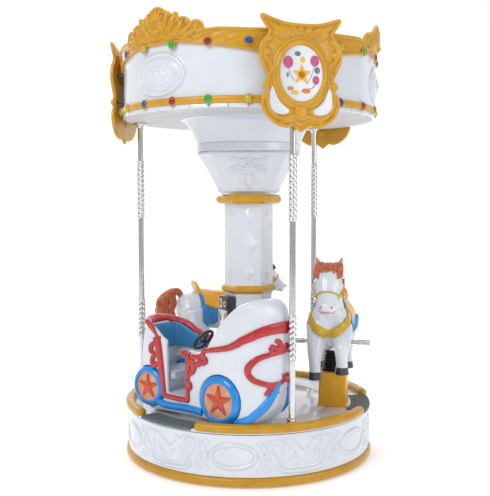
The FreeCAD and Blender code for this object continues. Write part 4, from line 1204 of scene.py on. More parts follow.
def pedestal():
    """A hollow box, open below, with a softened top edge and a small plinth."""
    rings = []
    for z, grow in (
        (0.3970, -0.0062), (0.2455, -0.0062), (0.2455, 0.006), (0.2465, 0.0075), (0.2520, 0.0075),
        (0.2545, 0.002), (0.300, 0.0015), (0.394, -0.0015), (0.4005, -0.004), (0.4030, -0.009),
        (0.4032, -0.030),
    ):
        hx, hy = 0.085 + grow, 0.0655 + grow
        outline = rounded_polygon([(hx, -hy), (hx, hy), (-hx, hy), (-hx, -hy)], 0.012, 5)
        rings.append(np.c_[outline[:, 0], outline[:, 1] - 0.420, np.full(len(outline), z)])
    return skin_sections(rings)


stands, screws = Clay(), Clay()
screw_head = lathe(
    [(0.0002, 0.4025), (0.0052, 0.4025), (0.0052, 0.4045), (0.0035, 0.4058), (0.0002, 0.4060)], 20,
)
for key in ("1", "2"):
    stands.add(pedestal(), lambda p, a=STATIONS[key]: turn(p, a))
    for x in (-0.070, 0.070):
        for y in (-0.4735, -0.3665):
            screws.add(screw_head, lambda p, a=STATIONS[key], c=(x, y): turn(p + (c[0], c[1], 0), a))
piece(
    "pedestal_boxes", stands.mesh(), "turntable", YELLOW, sharp=50, replaces=["pedestals"],
)
piece("pedestal_screws", screws.mesh(), "turntable", BRIGHT, sharp=40)

for key in ("1", "2"):
    outline = [(0.024, 0.4034), (0.054, 0.4034), (0.0555, 0.4050), (0.0545, 0.4075)]
    for i in range(6):
        base, top = 0.4085 + 0.0148 * i, 0.4085 + 0.0148 * (i + 1)
        peak = 0.0515 - 0.0028 * i
        outline += [
            (peak - 0.0105, base + 0.0012), (peak - 0.0115, base + 0.0024),
            (peak - 0.0015, (base + top) / 2 - 0.001), (peak, (base + top) / 2),
            (peak - 0.0015, (base + top) / 2 + 0.001),
        ]
    outline += [(0.0265, 0.4985), (0.030, 0.4995), (0.0345, 0.5010), (0.0345, 0.5046), (0.024, 0.5046)]
    ring = lathe(outline, 72)
    bellows = piece(
        f"rod_bellows_{key}", (turn(ring[0] + (0, -HORSE_AT, 0), STATIONS[key]), ring[1]), None,
        BLACK_RUBBER, sharp=60,
    )
    foot = Vector(turn([(0, -HORSE_AT, 0)], STATIONS[key])[0])
    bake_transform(bellows)
    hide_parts(f"bellows_{key}")


# ---- chariot: drawn at azimuth 0 facing +X, then turned ---------------------------------------


def chariot(points):
    return turn(points, CHARIOT_TURN)


MIDDLE = -0.3425
side_line = smooth_line(
    [
        (-0.245, 0.247), (-0.288, 0.300), (-0.302, 0.380), (-0.302, 0.480), (-0.292, 0.570),
        (-0.274, 0.640), (-0.240, 0.658),
        (-0.200, 0.640), (-0.155, 0.602), (-0.080, 0.578), (0.000, 0.566), (0.090, 0.562), (0.112, 0.580),
        (0.150, 0.640), (0.205, 0.719),
        (0.270, 0.779), (0.335, 0.800), (0.385, 0.788), (0.413, 0.750), (0.424, 0.690), (0.426, 0.620),
        (0.424, 0.540), (0.419, 0.460),
        (0.408, 0.380), (0.378, 0.305), (0.300, 0.248), (0.010, 0.247),
    ],
    4,
)


def tub_y(x, z, t):
    """Distance y of the tub at a share t of the way from its middle (0) to a wall (-1 outer, 1 inner)."""
    nose = min(1.0, max(0.0, (x - 0.285) / 0.139))
    tail = min(1.0, max(0.0, (-0.245 - x) / 0.057))
    crown = min(1.0, max(0.0, (z - 0.620) / 0.18)) if x > 0.1 else 0.0
    low = min(1.0, max(0.0, (0.34 - z) / 0.10))
    half = 0.1275 * (1 - 0.72 * nose**3) * (1 - 0.10 * tail**2) * (1 - 0.20 * crown**2) * (1 - 0.05 * low**2)
    return MIDDLE + 0.035 * nose**2 + t * half


def tub():
    """The moulded tub: its side outline carried from wall to wall, with rounded shoulders and bowed walls."""
    line = np.array(side_line)
    middle = np.array([0.02, 0.44])
    across = [(-1, share) for share in (0.03, 0.25, 0.5, 0.72, 0.88)]
    across += [(t, 1.0) for t in np.linspace(-1, 1, 25)]
    across += [(1, share) for share in (0.88, 0.72, 0.5, 0.25, 0.03)]
    rings = []
    for t, share in across:
        shoulder = 0.030 * (1 - max(0.0, 1 - abs(t) ** 4) ** 0.55)
        ring = []
        for point in line:
            d = point - middle
            x, z = middle + d * share - d / (np.linalg.norm(d) + 1e-9) * shoulder * share
            ring.append((x, tub_y(x, z, t), z))
        rings.append(ring)
    return skin_sections(rings)


def carved(mesh, cutters, voxel, smooth):
    """A mesh melted to one skin, less the cutters, melted again so that its rims are soft."""
    return melt(cut_away(melt(mesh, voxel, 3), melt(cutters, voxel, 0)), voxel, smooth)


def prism(outline, y_low, y_high):
    """An outline of (x, z) points run between two distances y."""
    o = np.asarray(outline, float)
    return skin_sections([np.stack([o[:, 0], np.full(len(o), y), o[:, 1]], 1) for y in (y_low, y_high)])


seat_hole = rounded_polygon([(-0.262, -0.448), (-0.060, -0.448), (-0.060, -0.237), (-0.262, -0.237)], 0.022)
leg_hole = rounded_polygon([(-0.150, -0.448), (0.060, -0.448), (0.060, -0.237), (-0.150, -0.237)], 0.022)
door = rounded_polygon([(-0.118, 0.346), (0.000, 0.340), (0.004, 0.80), (-0.130, 0.80)], 0.006)
cutters = Clay().add(upright(seat_hole, 0.400, 0.90)).add(upright(leg_hole, 0.346, 0.90))
cutters.add(prism(door, -0.50, -0.36))
WHEELS = [(-0.230, 0.092, 0.364), (0.184, 0.109, 0.354)]
for x, r, z in WHEELS:
    a = np.linspace(0, 2 * math.pi, 40, endpoint=False)
    round_hole = np.stack([x + (r + 0.004) * np.cos(a), z + (r + 0.004) * np.sin(a)], 1)
    cutters.add(prism(round_hole, -0.50, -0.4425))
    cutters.add(prism(round_hole, -0.2375, -0.18))
tub_skin = tub()
tub_mesh = carved(tub_skin, cutters.mesh(), 0.0042, 4)
piece(
    "chariot_tub", (chariot(tub_mesh[0]), tub_mesh[1]), "turntable", WHITE, replaces=["chariot_body"],
)

SIDES = [(-0.488, -1), (-0.192, 1)]


def wheel_parts():
    tyres, discs, stars, hubs = Clay(), Clay(), Clay(), Clay()
    for x, r, z in WHEELS:
        for y, way in SIDES:
            profile = [
                (0.72 * r, 0.010), (0.725 * r, 0.005), (0.745 * r, 0.0015), (0.79 * r, 0.0),
                (0.86 * r, 0.0020), (0.94 * r, 0.0075), (0.985 * r, 0.0140),
                (r, 0.0215), (0.999 * r, 0.0290), (0.985 * r, 0.0380), (0.95 * r, 0.0440),
                (0.74 * r, 0.0445), (0.72 * r, 0.040),
            ]
            disc = [
                (0.0005, 0.0065), (0.14 * r, 0.0065), (0.62 * r, 0.0130), (0.73 * r, 0.0085),
                (0.73 * r, 0.036), (0.0005, 0.036),
            ]
            star = []
            for i in range(10):
                share = 0.66 if i % 2 == 0 else 0.25
                a = math.pi * i / 5
                star.append((share * r * math.sin(a), share * r * math.cos(a)))
            star = rounded_polygon(star, 0.0022, 2)

            def place(p, x=x, z=z, y=y, way=way):
                """From (in the wheel's plane, up, depth from the outer face)."""
                q = np.asarray(p, float)
                return chariot(np.stack([x + q[:, 0], y - way * q[:, 2], z + q[:, 1]], 1))

            def spun(outline, steps=72):
                points, faces = lathe(outline, steps)
                return np.stack([points[:, 0], points[:, 1], points[:, 2]], 1), faces

            tyres.add(spun(profile), place)
            discs.add(spun(disc), place)
            p, f = slab(star, 0.0, 0.006, crown=0.004)
            stars.add((np.stack([p[:, 0], p[:, 1], 0.0100 - p[:, 2] * 0.9], 1), f), place)
            hubs.add(
                spun(
                    [
                        (0.0005, -0.0005), (0.05 * r, 0.0), (0.10 * r, 0.0022), (0.12 * r, 0.010),
                        (0.0005, 0.010),
                    ],
                    28,
                ),
                place,
            )
    return tyres, discs, stars, hubs


tyres, discs, stars, hubs = wheel_parts()
piece(
    "chariot_tyres_shown", tyres.mesh(), "turntable", BLUE, sharp=50, replaces=["chariot_tyres"],
)
piece(
    "wheel_discs", discs.mesh(), "turntable", DISC, sharp=50, replaces=["chariot_wheel_discs"],
)
piece("wheel_stars", stars.mesh(), "turntable", SPOKE, sharp=50)
piece("wheel_hubs", hubs.mesh(), "turntable", SPOKE, sharp=50)


tub_walls = BVHTree.FromPolygons([tuple(p) for p in tub_skin[0]], tub_skin[1])


def on_wall(path, half_heights, way=-1, out=0.007, sink=0.007):
    """A raised ribbon on the outer (way -1) or inner wall, along points given as on the outer wall."""
    h = np.broadcast_to(np.asarray(half_heights, float), (len(path),))
    at, normal = [], []
    for x, y, z in path:
        hit, n, _, _ = tub_walls.find_nearest(Vector((x, y if way < 0 else 2 * tub_y(x, z, 0) - y, z)))
        at.append(hit)
        normal.append(n)
    at, normal = np.array(at), smooth_rows(np.array(normal))
    along = smooth_rows(np.gradient(at, axis=0))
    rings = []
    for i in range(len(path)):
        side = np.cross(normal[i], along[i])
        side /= np.linalg.norm(side)
        ring = []
        for k in range(16):
            a = 2 * math.pi * k / 16
            c, s = math.cos(a), math.sin(a)
            depth = (out if s > 0 else sink) * math.copysign(abs(s) ** 0.6, s)
            ring.append(at[i] + side * h[i] * math.copysign(abs(c) ** 0.6, c) + normal[i] * depth)
        rings.append(ring)
    return skin_sections(rings)


def flat_path(points, steps=8):
    """A smooth path of (x, z) points on the flat of the outer wall."""
    return [(x, -0.50, z) for x, z in smooth_line(points, steps)]


def smooth_rows(v):
    """Directions averaged with their neighbours and made of length one."""
    v = v / (np.linalg.norm(v, axis=1)[:, None] + 1e-12)
    v[1:-1] = (v[:-2] + v[1:-1] + v[2:]) / 3
    return v / (np.linalg.norm(v, axis=1)[:, None] + 1e-12)


def swelling(knots, n):
    """Half heights that pass through the knots, spread evenly over n places."""
    return np.interp(np.linspace(0, 1, n), np.linspace(0, 1, len(knots)), knots)


sills = Clay()
for way in (-1, 1):
    run = flat_path([(-0.175, 0.300), (-0.120, 0.290), (-0.040, 0.291), (0.030, 0.291), (0.090, 0.286)], 6)
    sills.add(on_wall(run, 0.017, way, 0.016))
    rise = [
        (0.270, -0.48, 0.268), (0.320, -0.46, 0.286), (0.358, -0.44, 0.316), (0.388, -0.405, 0.354),
        (0.406, -0.375, 0.400), (0.416, -0.348, 0.448),
    ]
    rise = smooth_line(rise, 6)
    sills.add(on_wall(rise, swelling([0.016, 0.018, 0.020, 0.021, 0.019, 0.009], len(rise)), way, 0.014))
sill_mesh = melt(sills.mesh(), 0.0036, 2, 0.45)
piece(
    "chariot_running_boards", (chariot(sill_mesh[0]), sill_mesh[1]), "turntable", BLUE,
    replaces=["chariot_sills"],
)

CURLS = [
    ([(0.010, 0.448), (0.034, 0.462), (0.044, 0.486), (0.032, 0.502), (0.018, 0.492)], 0.012),
    ([(0.004, 0.528), (-0.018, 0.540), (-0.024, 0.562), (-0.008, 0.572), (0.004, 0.558)], 0.011),
    ([(0.024, 0.520), (0.046, 0.500), (0.072, 0.504), (0.076, 0.526), (0.056, 0.534)], 0.013),
    ([(0.060, 0.556), (0.092, 0.540), (0.112, 0.524), (0.098, 0.508), (0.080, 0.518)], 0.011),
    ([(-0.180, 0.520), (-0.204, 0.500), (-0.206, 0.474), (-0.186, 0.466), (-0.178, 0.484)], 0.012),
    ([(-0.186, 0.575), (-0.212, 0.556), (-0.214, 0.530), (-0.194, 0.524)], 0.012),
    ([(-0.002, 0.420), (0.020, 0.408), (0.022, 0.388), (0.006, 0.382)], 0.009),
]

red = Clay()
for way in (-1, 1):
    posts = [
        (
            [
                (-0.182, 0.600), (-0.172, 0.566), (-0.162, 0.515), (-0.152, 0.450), (-0.144, 0.380),
                (-0.136, 0.330),
            ],
            [0.024, 0.021, 0.018, 0.017, 0.016, 0.014],
        ),
        ([(-0.140, 0.334), (-0.060, 0.330), (0.010, 0.330)], [0.012, 0.012, 0.012]),
        (
            [(0.006, 0.328), (0.005, 0.395), (0.007, 0.450), (0.010, 0.505), (0.020, 0.550)],
            [0.012, 0.011, 0.012, 0.016, 0.017],
        ),
    ]
    for line, widths in posts:
        path = flat_path(line)
        red.add(on_wall(path, swelling(widths, len(path)), way, 0.011))
    for line, r in CURLS:
        path = flat_path(line, 7)
        red.add(on_wall(path, r * (0.55 + 0.5 * np.sin(np.linspace(0.2, 3.0, len(path)))), way, 0.013))
    flowing = [
        (
            [(
                0.030, -0.50, 0.540,
            ), (0.080, -0.50, 0.560), (0.130, -0.50, 0.571), (0.185, -0.50, 0.581), (0.240, -0.50,
            0.596), (0.291, -0.50, 0.620),
             (0.338, -0.465, 0.645), (0.374, -0.436, 0.664), (0.402, -0.396, 0.676), (0.422, -0.347, 0.681),
             (0.430, -0.295, 0.680)],
            [0.012, 0.011, 0.013, 0.017, 0.021, 0.024, 0.028],
        ),
        (
            [(
                0.432, -0.318, 0.578,
            ), (0.407, -0.390, 0.571), (0.378, -0.430, 0.559), (0.354, -0.455, 0.541), (0.335, -0.47,
            0.516), (0.334, -0.47, 0.489),
             (0.355, -0.455, 0.464), (0.385, -0.420, 0.446), (0.408, -0.375, 0.438), (0.425, -0.325, 0.446),
             (0.432, -0.285, 0.476)],
            [0.009, 0.013, 0.017, 0.013, 0.011, 0.008],
        ),
        ([(0.418, -0.352, 0.580), (0.404, -0.385, 0.604), (0.398, -0.394, 0.586)], [0.012, 0.009]),
        ([(0.418, -0.352, 0.584), (0.420, -0.350, 0.618), (0.412, -0.372, 0.628)], [0.014, 0.010]),
        ([(0.420, -0.346, 0.582), (0.430, -0.310, 0.604), (0.430, -0.300, 0.590)], [0.012, 0.009]),
        ([(0.398, -0.396, 0.444), (0.396, -0.396, 0.418), (0.382, -0.414, 0.398)], [0.012, 0.007]),
        ([(0.398, -0.396, 0.438), (0.408, -0.366, 0.416), (0.410, -0.350, 0.400)], [0.011, 0.006]),
    ]
    for line, widths in flowing:
        path = smooth_line(line, 7)
        red.add(on_wall(path, swelling(widths, len(path)), way, 0.011))
rail_line = smooth_line(
    [
        (-0.168, -0.460, 0.590), (-0.200, -0.462, 0.622), (-0.238, -0.456, 0.652), (-0.268, -0.430, 0.662),
        (-0.282, -0.385, 0.664), (-0.284, -0.3425, 0.664),
        (-0.282, -0.300, 0.660), (-0.268, -0.258, 0.650), (-0.238, -0.232, 0.640), (-0.195, -0.226, 0.628),
        (-0.140, -0.225, 0.600), (-0.070, -0.225, 0.578), (0.020, -0.226, 0.566),
    ],
    8,
)
red.add(
    tube(
        rail_line, swelling([0.013, 0.021, 0.025, 0.022, 0.017, 0.014], len(rail_line)), sides=16, flat=0.7,
    )
)
red_mesh = melt(red.mesh(), 0.0032, 2, 0.45)
piece(
    "chariot_red_trim", (chariot(red_mesh[0]), red_mesh[1]), "turntable", RED, replaces=["chariot_trim"],
)


# ---- cushion ----------------------------------------------------------------------------------


def blown_up(mesh, grid, held):
    """A soft box filled with air as cloth, kept where it is held."""
    points, faces = melt(mesh, grid, 1, 0.3)
    scene = bpy.context.scene
    data = bpy.data.meshes.new("soft")
    data.from_pydata([tuple(p) for p in points], [], faces)
    soft = bpy.data.objects.new("soft", data)
    scene.collection.objects.link(soft)
    pins = soft.vertex_groups.new(name="held")
    pins.add([i for i, p in enumerate(points) if held(p)], 1.0, "REPLACE")
    cloth = soft.modifiers.new("cloth", "CLOTH")
    cloth.settings.use_pressure = True
    cloth.settings.uniform_pressure_force = 4.0
    cloth.settings.quality = 6
    cloth.settings.mass = 0.25
    cloth.settings.tension_stiffness = 18
    cloth.settings.compression_stiffness = 18
    cloth.settings.bending_stiffness = 0.6
    cloth.settings.vertex_group_mass = "held"
    cloth.settings.effector_weights.gravity = 0.0
    cloth.collision_settings.use_collision = False
    cloth.point_cache.frame_start, cloth.point_cache.frame_end = 1, 20
    for frame_number in range(1, 21):
        scene.frame_set(frame_number)
    done = soft.evaluated_get(bpy.context.evaluated_depsgraph_get()).to_mesh()
    move = np.array([v.co for v in done.vertices]) - points
    soft.evaluated_get(bpy.context.evaluated_depsgraph_get()).to_mesh_clear()
    scene.frame_set(1)
    bpy.data.objects.remove(soft)
    reach = np.linalg.norm(move, axis=1)
    return points + move * np.minimum(1.0, 0.010 / np.maximum(reach, 1e-9))[:, None], faces


def cushion(name, mesh, place, material, welt, replaces=()):
    """A sewn vinyl cushion with a welt round it."""
    body = piece(
        name, (place(mesh[0]), mesh[1]), "turntable", material, replaces=replaces,
    )
    fine = body.modifiers.new("fine", "SUBSURF")
    fine.levels = fine.render_levels = 1
    seam = tube(welt, 0.0026, sides=8, closed=True)
    piece(name + "_welt", (place(seam[0]), seam[1]), "turntable", material)


def seat_place(points):
    return chariot(points + (-0.161, MIDDLE, 0.4205))


seat_plan = rounded_polygon([(-0.060, -0.099), (0.060, -0.099), (0.060, 0.099), (-0.060, 0.099)], 0.018, 5)
seat_box = skin_sections(
    [
        np.c_[seat_plan * s, np.full(len(seat_plan), z)]
        for z, s in ((-0.018, 0.90), (-0.0145, 0.975), (0, 1), (0.0145, 0.975), (0.018, 0.90))
    ]
)
seat_points, seat_faces = blown_up(seat_box, 0.005, lambda p: p[2] < -0.013)
groove = sum(np.exp(-((seat_points[:, 1] - line) ** 2) / (2 * 0.0035**2)) for line in (-0.033, 0.033))
seat_points[:, 2] -= groove * np.clip((seat_points[:, 2] - 0.004) / 0.014, 0, 1) * 0.006
cushion(
    "seat_cushion", (seat_points, seat_faces), seat_place, PALE_VINYL,
    np.c_[seat_plan * 0.988, np.full(len(seat_plan), 0.016)], ["chariot_cushion"],
)

pad_line = smooth_line(
    [
        (-0.165, -0.437), (-0.215, -0.4375), (-0.244, -0.428), (-0.2515, -0.400), (-0.2515, -0.285),
        (-0.244, -0.257), (-0.215, -0.2475), (-0.140, -0.2475), (-0.066, -0.2475),
    ],
    7,
)
pad_along = np.gradient(pad_line, axis=0)
pad_along /= np.linalg.norm(pad_along, axis=1)[:, None]
pad_in = np.stack([pad_along[:, 1] * -1, pad_along[:, 0]], 1)
pad_top = np.interp(pad_line[:, 0], [-0.25, -0.20, -0.14, -0.066], [0.642, 0.622, 0.588, 0.572])
pad_low = np.full(len(pad_line), 0.520)


def pad_ring(i, share):
    """Section i of the padded band, in from the wall, its corners rounded."""
    ring = []
    for k in range(20):
        a = 2 * math.pi * k / 20
        across, up = (math.copysign(abs(f(a)) ** 0.5, f(a)) for f in (math.cos, math.sin))
        xy = pad_line[i] + pad_in[i] * 0.0095 * across * share
        ring.append((*xy, (pad_top[i] + pad_low[i]) / 2 + (pad_top[i] - pad_low[i]) / 2 * up * share))
    return ring


def at_wall(p):
    """Whether a point of the padded band lies against the tub."""
    i = np.argmin(np.linalg.norm(pad_line - p[:2], axis=1))
    return np.dot(p[:2] - pad_line[i], pad_in[i]) < -0.004


band_box = skin_sections(
    [pad_ring(i, 1.0 if 0 < i < len(pad_line) - 1 else 0.8) for i in range(len(pad_line))]
)
band_points, band_faces = blown_up(band_box, 0.005, at_wall)
run_at = np.array([np.argmin(np.linalg.norm(pad_line - p[:2], axis=1)) for p in band_points])
along_at = np.r_[0, np.cumsum(np.linalg.norm(np.diff(pad_line, axis=0), axis=1))][run_at]
reach_in = np.einsum("ij,ij->i", band_points[:, :2] - pad_line[run_at], pad_in[run_at])
groove = np.exp(
    -(((along_at + 0.018) % 0.036 - 0.018) ** 2) / (2 * 0.003**2)
) * np.clip(reach_in / 0.009, 0, 1) * 0.006
band_points[:, :2] -= pad_in[run_at] * groove[:, None]
welt_top = np.c_[pad_line + pad_in * 0.0085, pad_top - 0.004]
welt_low = np.c_[pad_line + pad_in * 0.0085, pad_low + 0.004]
cushion("back_band", (band_points, band_faces), chariot, VINYL, np.vstack([welt_top, welt_low[::-1]]))


# ---- steering wheel and coin box --------------------------------------------------------------


def steering_place(points):
    """From the wheel's own axes: its axle points up +Z."""
    axle = Vector((0.8, 0, -0.6))
    side = Vector((0, 1, 0))
    up = axle.cross(side).normalized()
    m = np.array([side, up, axle]).T
    return chariot(np.asarray(points, float) @ m.T + (-0.008, -0.342, 0.585))


wheel = Clay()
wheel.add(
    tube(
        np.c_[ellipse((0, 0), (0.052, 0.052), 64), np.zeros(64)],
        0.0080 + 0.0005 * np.cos(np.arange(64) * 2 * math.pi / 4), sides=14, closed=True,
    )
)
for i in range(3):
    a = math.radians(90 + 120 * i)
    path = [
        (0.010 * math.cos(a), 0.010 * math.sin(a), 0.004), (0.03 * math.cos(a), 0.03 * math.sin(a), 0.002),
        (0.052 * math.cos(a), 0.052 * math.sin(a), 0),
    ]
    wheel.add(tube(path, [0.006, 0.005, 0.0055], sides=10, flat=0.7))
wheel.add(
    lathe(
        [
            (0.0003, -0.010), (0.010, -0.010), (0.016, -0.005), (0.016, 0.006), (0.009, 0.010),
            (0.009, 0.060), (0.0003, 0.060),
        ],
        32,
    )
)
piece(
    "steering_wheel_rim", (steering_place(np.vstack(wheel.points)), wheel.faces), "steering_wheel", BLACK,
    sharp=40, replaces=["steering_wheel"],
)

coin_front = -COLUMN_R * math.cos(math.radians(30)) - 0.042


def on_coin_box(mesh):
    points, faces = mesh
    return turn(points, -60), faces


def rounded_box(x, y, z, fillet=0.004, soft=0.003):
    """A box with rounded upright edges and softened front and back edges, drawn along -Y."""
    cx, cz = (x[0] + x[1]) / 2, (z[0] + z[1]) / 2
    hx, hz = (x[1] - x[0]) / 2, (z[1] - z[0]) / 2
    outline = rounded_polygon([(-hx, -hz), (hx, -hz), (hx, hz), (-hx, hz)], fillet, 4)
    rings = []
    for depth, inset in ((y[1], 0.0), (y[0] + soft, 0.0), (y[0] + soft * 0.3, soft * 0.3), (y[0], soft)):
        k = np.array([(hx - inset) / hx, (hz - inset) / hz])
        o = outline * k
        rings.append(np.stack([o[:, 0] + cx, np.full(len(o), depth), o[:, 1] + cz], 1))
    return skin_sections(rings)


box = Clay().add(rounded_box((-0.045, 0.045), (coin_front, -0.094), (0.585, 0.763), 0.006))
box.add(
    rounded_box((-0.040, 0.040), (coin_front - 0.0016, coin_front + 0.004), (0.700, 0.756), 0.004, 0.0012)
)
piece(
    "coin_box_case", on_coin_box(box.mesh()), "turntable", BLACK, sharp=40, replaces=["coin_box"],
)
plates = Clay()
plates.add(rounded_box((-0.034, -0.014), (coin_front - 0.0035, coin_front), (0.706, 0.750), 0.003, 0.0012))
plates.add(tube([(0.018, coin_front - 0.0045, 0.727), (0.018, coin_front, 0.727)], 0.0135, sides=36))
piece("coin_plates", on_coin_box(plates.mesh()), "turntable", CHROME, sharp=40)
slit = Clay().add(
    rounded_box((-0.0258, -0.0222), (coin_front - 0.0041, coin_front), (0.713, 0.741), 0.001, 0.0005)
)
piece("coin_slit", on_coin_box(slit.mesh()), "turntable", BLACK, sharp=40)
door_leaf = Clay().add(
    rounded_box((-0.040, 0.040), (coin_front - 0.0034, coin_front - 0.0004), (0.594, 0.696), 0.004, 0.0012)
)
door_leaf.add(
    rounded_box((-0.030, 0.020), (coin_front - 0.0048, coin_front - 0.002), (0.606, 0.684), 0.003, 0.001)
)
door_leaf.add(
    tube([(-0.040, coin_front - 0.0033, 0.595), (-0.040, coin_front - 0.0033, 0.695)], 0.003, sides=20)
)
door_leaf.add(
    tube([(0.028, coin_front - 0.0068, 0.645), (0.028, coin_front - 0.001, 0.645)], 0.0078, sides=32)
)
door_leaf.add(
    rounded_box(
        (0.0272, 0.0288), (coin_front - 0.0074, coin_front - 0.006), (0.6402, 0.6498), 0.0006, 0.0003,
    )
)
piece(
    "coin_door_leaf", on_coin_box(door_leaf.mesh()), "coin_door", CHROME, sharp=40, replaces=["coin_door"],
)
press = lathe(
    [(0.0002, 0.0), (0.0088, 0.0), (0.0088, 0.0185), (0.0076, 0.0202), (0.004, 0.0210), (0.0002, 0.0212)],
    40,
)
press = (
    np.stack([press[0][:, 0] + 0.018, coin_front + 0.014 - press[0][:, 2], press[0][:, 1] + 0.727], 1),
    press[1],
)
piece(
    "start_button_cap", on_coin_box(press), "start_button", BUTTON, sharp=40, replaces=["start_button"],
)


# ---- horses: drawn at azimuth 0 facing -X, then turned ----------------------------------------


def at_horse(points):
    """From (forward, side, up) on the horse to the frame, before it is turned."""
    p = np.asarray(points, float)
    return np.stack([-p[:, 0], p[:, 1] - HORSE_AT, p[:, 2]], 1)


def limb(path, steps=6, sides=18, squash=1.0):
    """A limb through (forward, side, up, radius) points."""
    line = smooth_line(path, steps)
    return tube(line[:, :3], line[:, 3], sides=sides, flat=squash)


def barrel(rows, sides=36):
    """A body through rows of (forward, up, half width, half height, lean)."""
    line = smooth_line(rows, 5)
    rings = []
    a = np.linspace(0, 2 * math.pi, sides, endpoint=False)
    for f, z, w, h, lean in line:
        up = np.array([math.sin(math.radians(lean)), 0, math.cos(math.radians(lean))])
        ring = np.array([f, 0, z]) + np.cos(a)[:, None] * np.array([0, w, 0]) + np.sin(a)[:, None] * up * h
        rings.append(ring)
    return skin_sections(rings)


TRUNK = [
    (-0.252, 0.657, 0.030, 0.040, 0), (-0.238, 0.656, 0.060, 0.066, 0), (-0.198, 0.652, 0.086, 0.088, 0),
    (-0.110, 0.640, 0.098, 0.100, 0),
    (-0.050, 0.632, 0.095, 0.097, 0), (0.010, 0.628, 0.092, 0.097, 0), (0.110, 0.640, 0.099, 0.108, 0),
    (0.165, 0.658, 0.092, 0.104, 0),
    (0.200, 0.678, 0.072, 0.084, 0), (0.222, 0.690, 0.040, 0.052, 0),
]
NECK = [
    (0.100, 0.668, 0.078, 0.092, -40), (0.140, 0.706, 0.072, 0.086, -48), (0.168, 0.752, 0.062, 0.074, -56),
    (0.188, 0.800, 0.054, 0.062, -62),
    (0.200, 0.845, 0.050, 0.052, -66), (0.206, 0.880, 0.042, 0.040, -70),
]
HEAD = [
    (0.176, 0.908, 0.030, 0.024, 40), (0.190, 0.897, 0.054, 0.042, 41), (0.212, 0.877, 0.067, 0.054, 43),
    (0.238, 0.850, 0.069, 0.056, 44),
    (0.264, 0.820, 0.060, 0.048, 45), (0.288, 0.792, 0.048, 0.039, 46), (0.310, 0.768, 0.044, 0.035, 48),
    (0.328, 0.750, 0.043, 0.033, 50),
    (0.341, 0.738, 0.034, 0.026, 50), (0.348, 0.731, 0.018, 0.014, 50),
]
LEGS = [
    [
        (0.150, -0.050, 0.640, 0.056), (0.174, -0.058, 0.602, 0.050), (0.224, -0.062, 0.566, 0.038),
        (0.244, -0.062, 0.546, 0.034), (0.240, -0.062, 0.514, 0.0285), (0.222, -0.062, 0.478, 0.0265),
        (0.212, -0.062, 0.460, 0.029),
    ],
    [
        (0.150, 0.050, 0.640, 0.056), (0.165, 0.058, 0.592, 0.050), (0.205, 0.062, 0.550, 0.038),
        (0.222, 0.062, 0.525, 0.034), (0.222, 0.062, 0.488, 0.0285), (0.212, 0.062, 0.450, 0.0265),
        (0.206, 0.062, 0.432, 0.029),
    ],
    [
        (-0.165, -0.050, 0.648, 0.070), (-0.166, -0.058, 0.588, 0.058), (-0.158, -0.062, 0.540, 0.044),
        (-0.176, -0.062, 0.502, 0.035), (-0.205, -0.062, 0.455, 0.0285), (-0.228, -0.062, 0.416, 0.0265),
        (-0.236, -0.062, 0.400, 0.029),
    ],
    [
        (-0.165, 0.050, 0.648, 0.070), (-0.150, 0.058, 0.590, 0.058), (-0.136, 0.062, 0.545, 0.044),
        (-0.148, 0.062, 0.508, 0.035), (-0.176, 0.062, 0.462, 0.0285), (-0.198, 0.062, 0.420, 0.0265),
        (-0.206, 0.062, 0.402, 0.029),
    ],
]
EYES = [(0.268, side * 0.066, 0.860) for side in (-1, 1)]


def horse_skin():
    """The whole horse as one soft skin, with its mouth drawn in."""
    clay = Clay().add(barrel(TRUNK)).add(barrel(NECK)).add(barrel(HEAD))
    for leg in LEGS:
        clay.add(limb(leg))
    for side in (-1, 1):
        clay.add(blob((-0.188, side * 0.045, 0.640), (0.064, 0.050, 0.070)))
        clay.add(blob((0.178, side * 0.040, 0.640), (0.052, 0.046, 0.062)))
    for side in (-1, 1):
        clay.add(blob((0.222, side * 0.052, 0.838), (0.026, 0.018, 0.030)))
        clay.add(blob((0.262, side * 0.054, 0.866), (0.018, 0.012, 0.013)))
        clay.add(blob((0.350, side * 0.022, 0.756), (0.012, 0.012, 0.012)))
        clay.add(
            limb(
                [
                    (0.200, side * 0.038, 0.905, 0.017), (0.200, side * 0.046, 0.926, 0.0205),
                    (0.204, side * 0.054, 0.948, 0.015), (0.208, side * 0.060, 0.968, 0.005),
                ],
                sides=14, squash=0.75,
            )
        )
    points, faces = melt(clay.mesh(), 0.0045, 6, 0.5)
    mouth = np.exp(
        -(((points[:, 2] - (0.728 - 0.25 * (points[:, 0] - 0.340))) / 0.0022) ** 2)
    ) * (points[:, 0] > 0.318)
    points[:, 1] -= np.sign(points[:, 1]) * mouth * 0.0022
    return points, faces


def over_skin(skin, keep, lift):
    """A shell a little above part of the skin: the faces where keep is true, lifted along the surface."""
    points, faces = skin
    data = bpy.data.meshes.new("skin")
    data.from_pydata([tuple(p) for p in points], [], faces)
    bm = bmesh.new()
    bm.from_mesh(data)
    bmesh.ops.recalc_face_normals(bm, faces=bm.faces)
    bm.normal_update()
    normals = np.array([v.normal for v in bm.verts])
    bm.free()
    bpy.data.meshes.remove(data)
    chosen = [f for f in faces if keep(points[list(f)].mean(0))]
    top = points + normals * lift
    low = points - normals * 0.002
    out = []
    count = len(points)
    edges = {}
    for f in chosen:
        out.append(f)
        out.append(tuple(i + count for i in reversed(f)))
        for a, b in zip(f, f[1:] + f[:1]):
            edges[(a, b)] = True
    for a, b in edges:
        if (b, a) not in edges:
            out.append((b, a, a + count, b + count))
    return compact((np.vstack([top, low]), out))


SKIN = horse_skin()


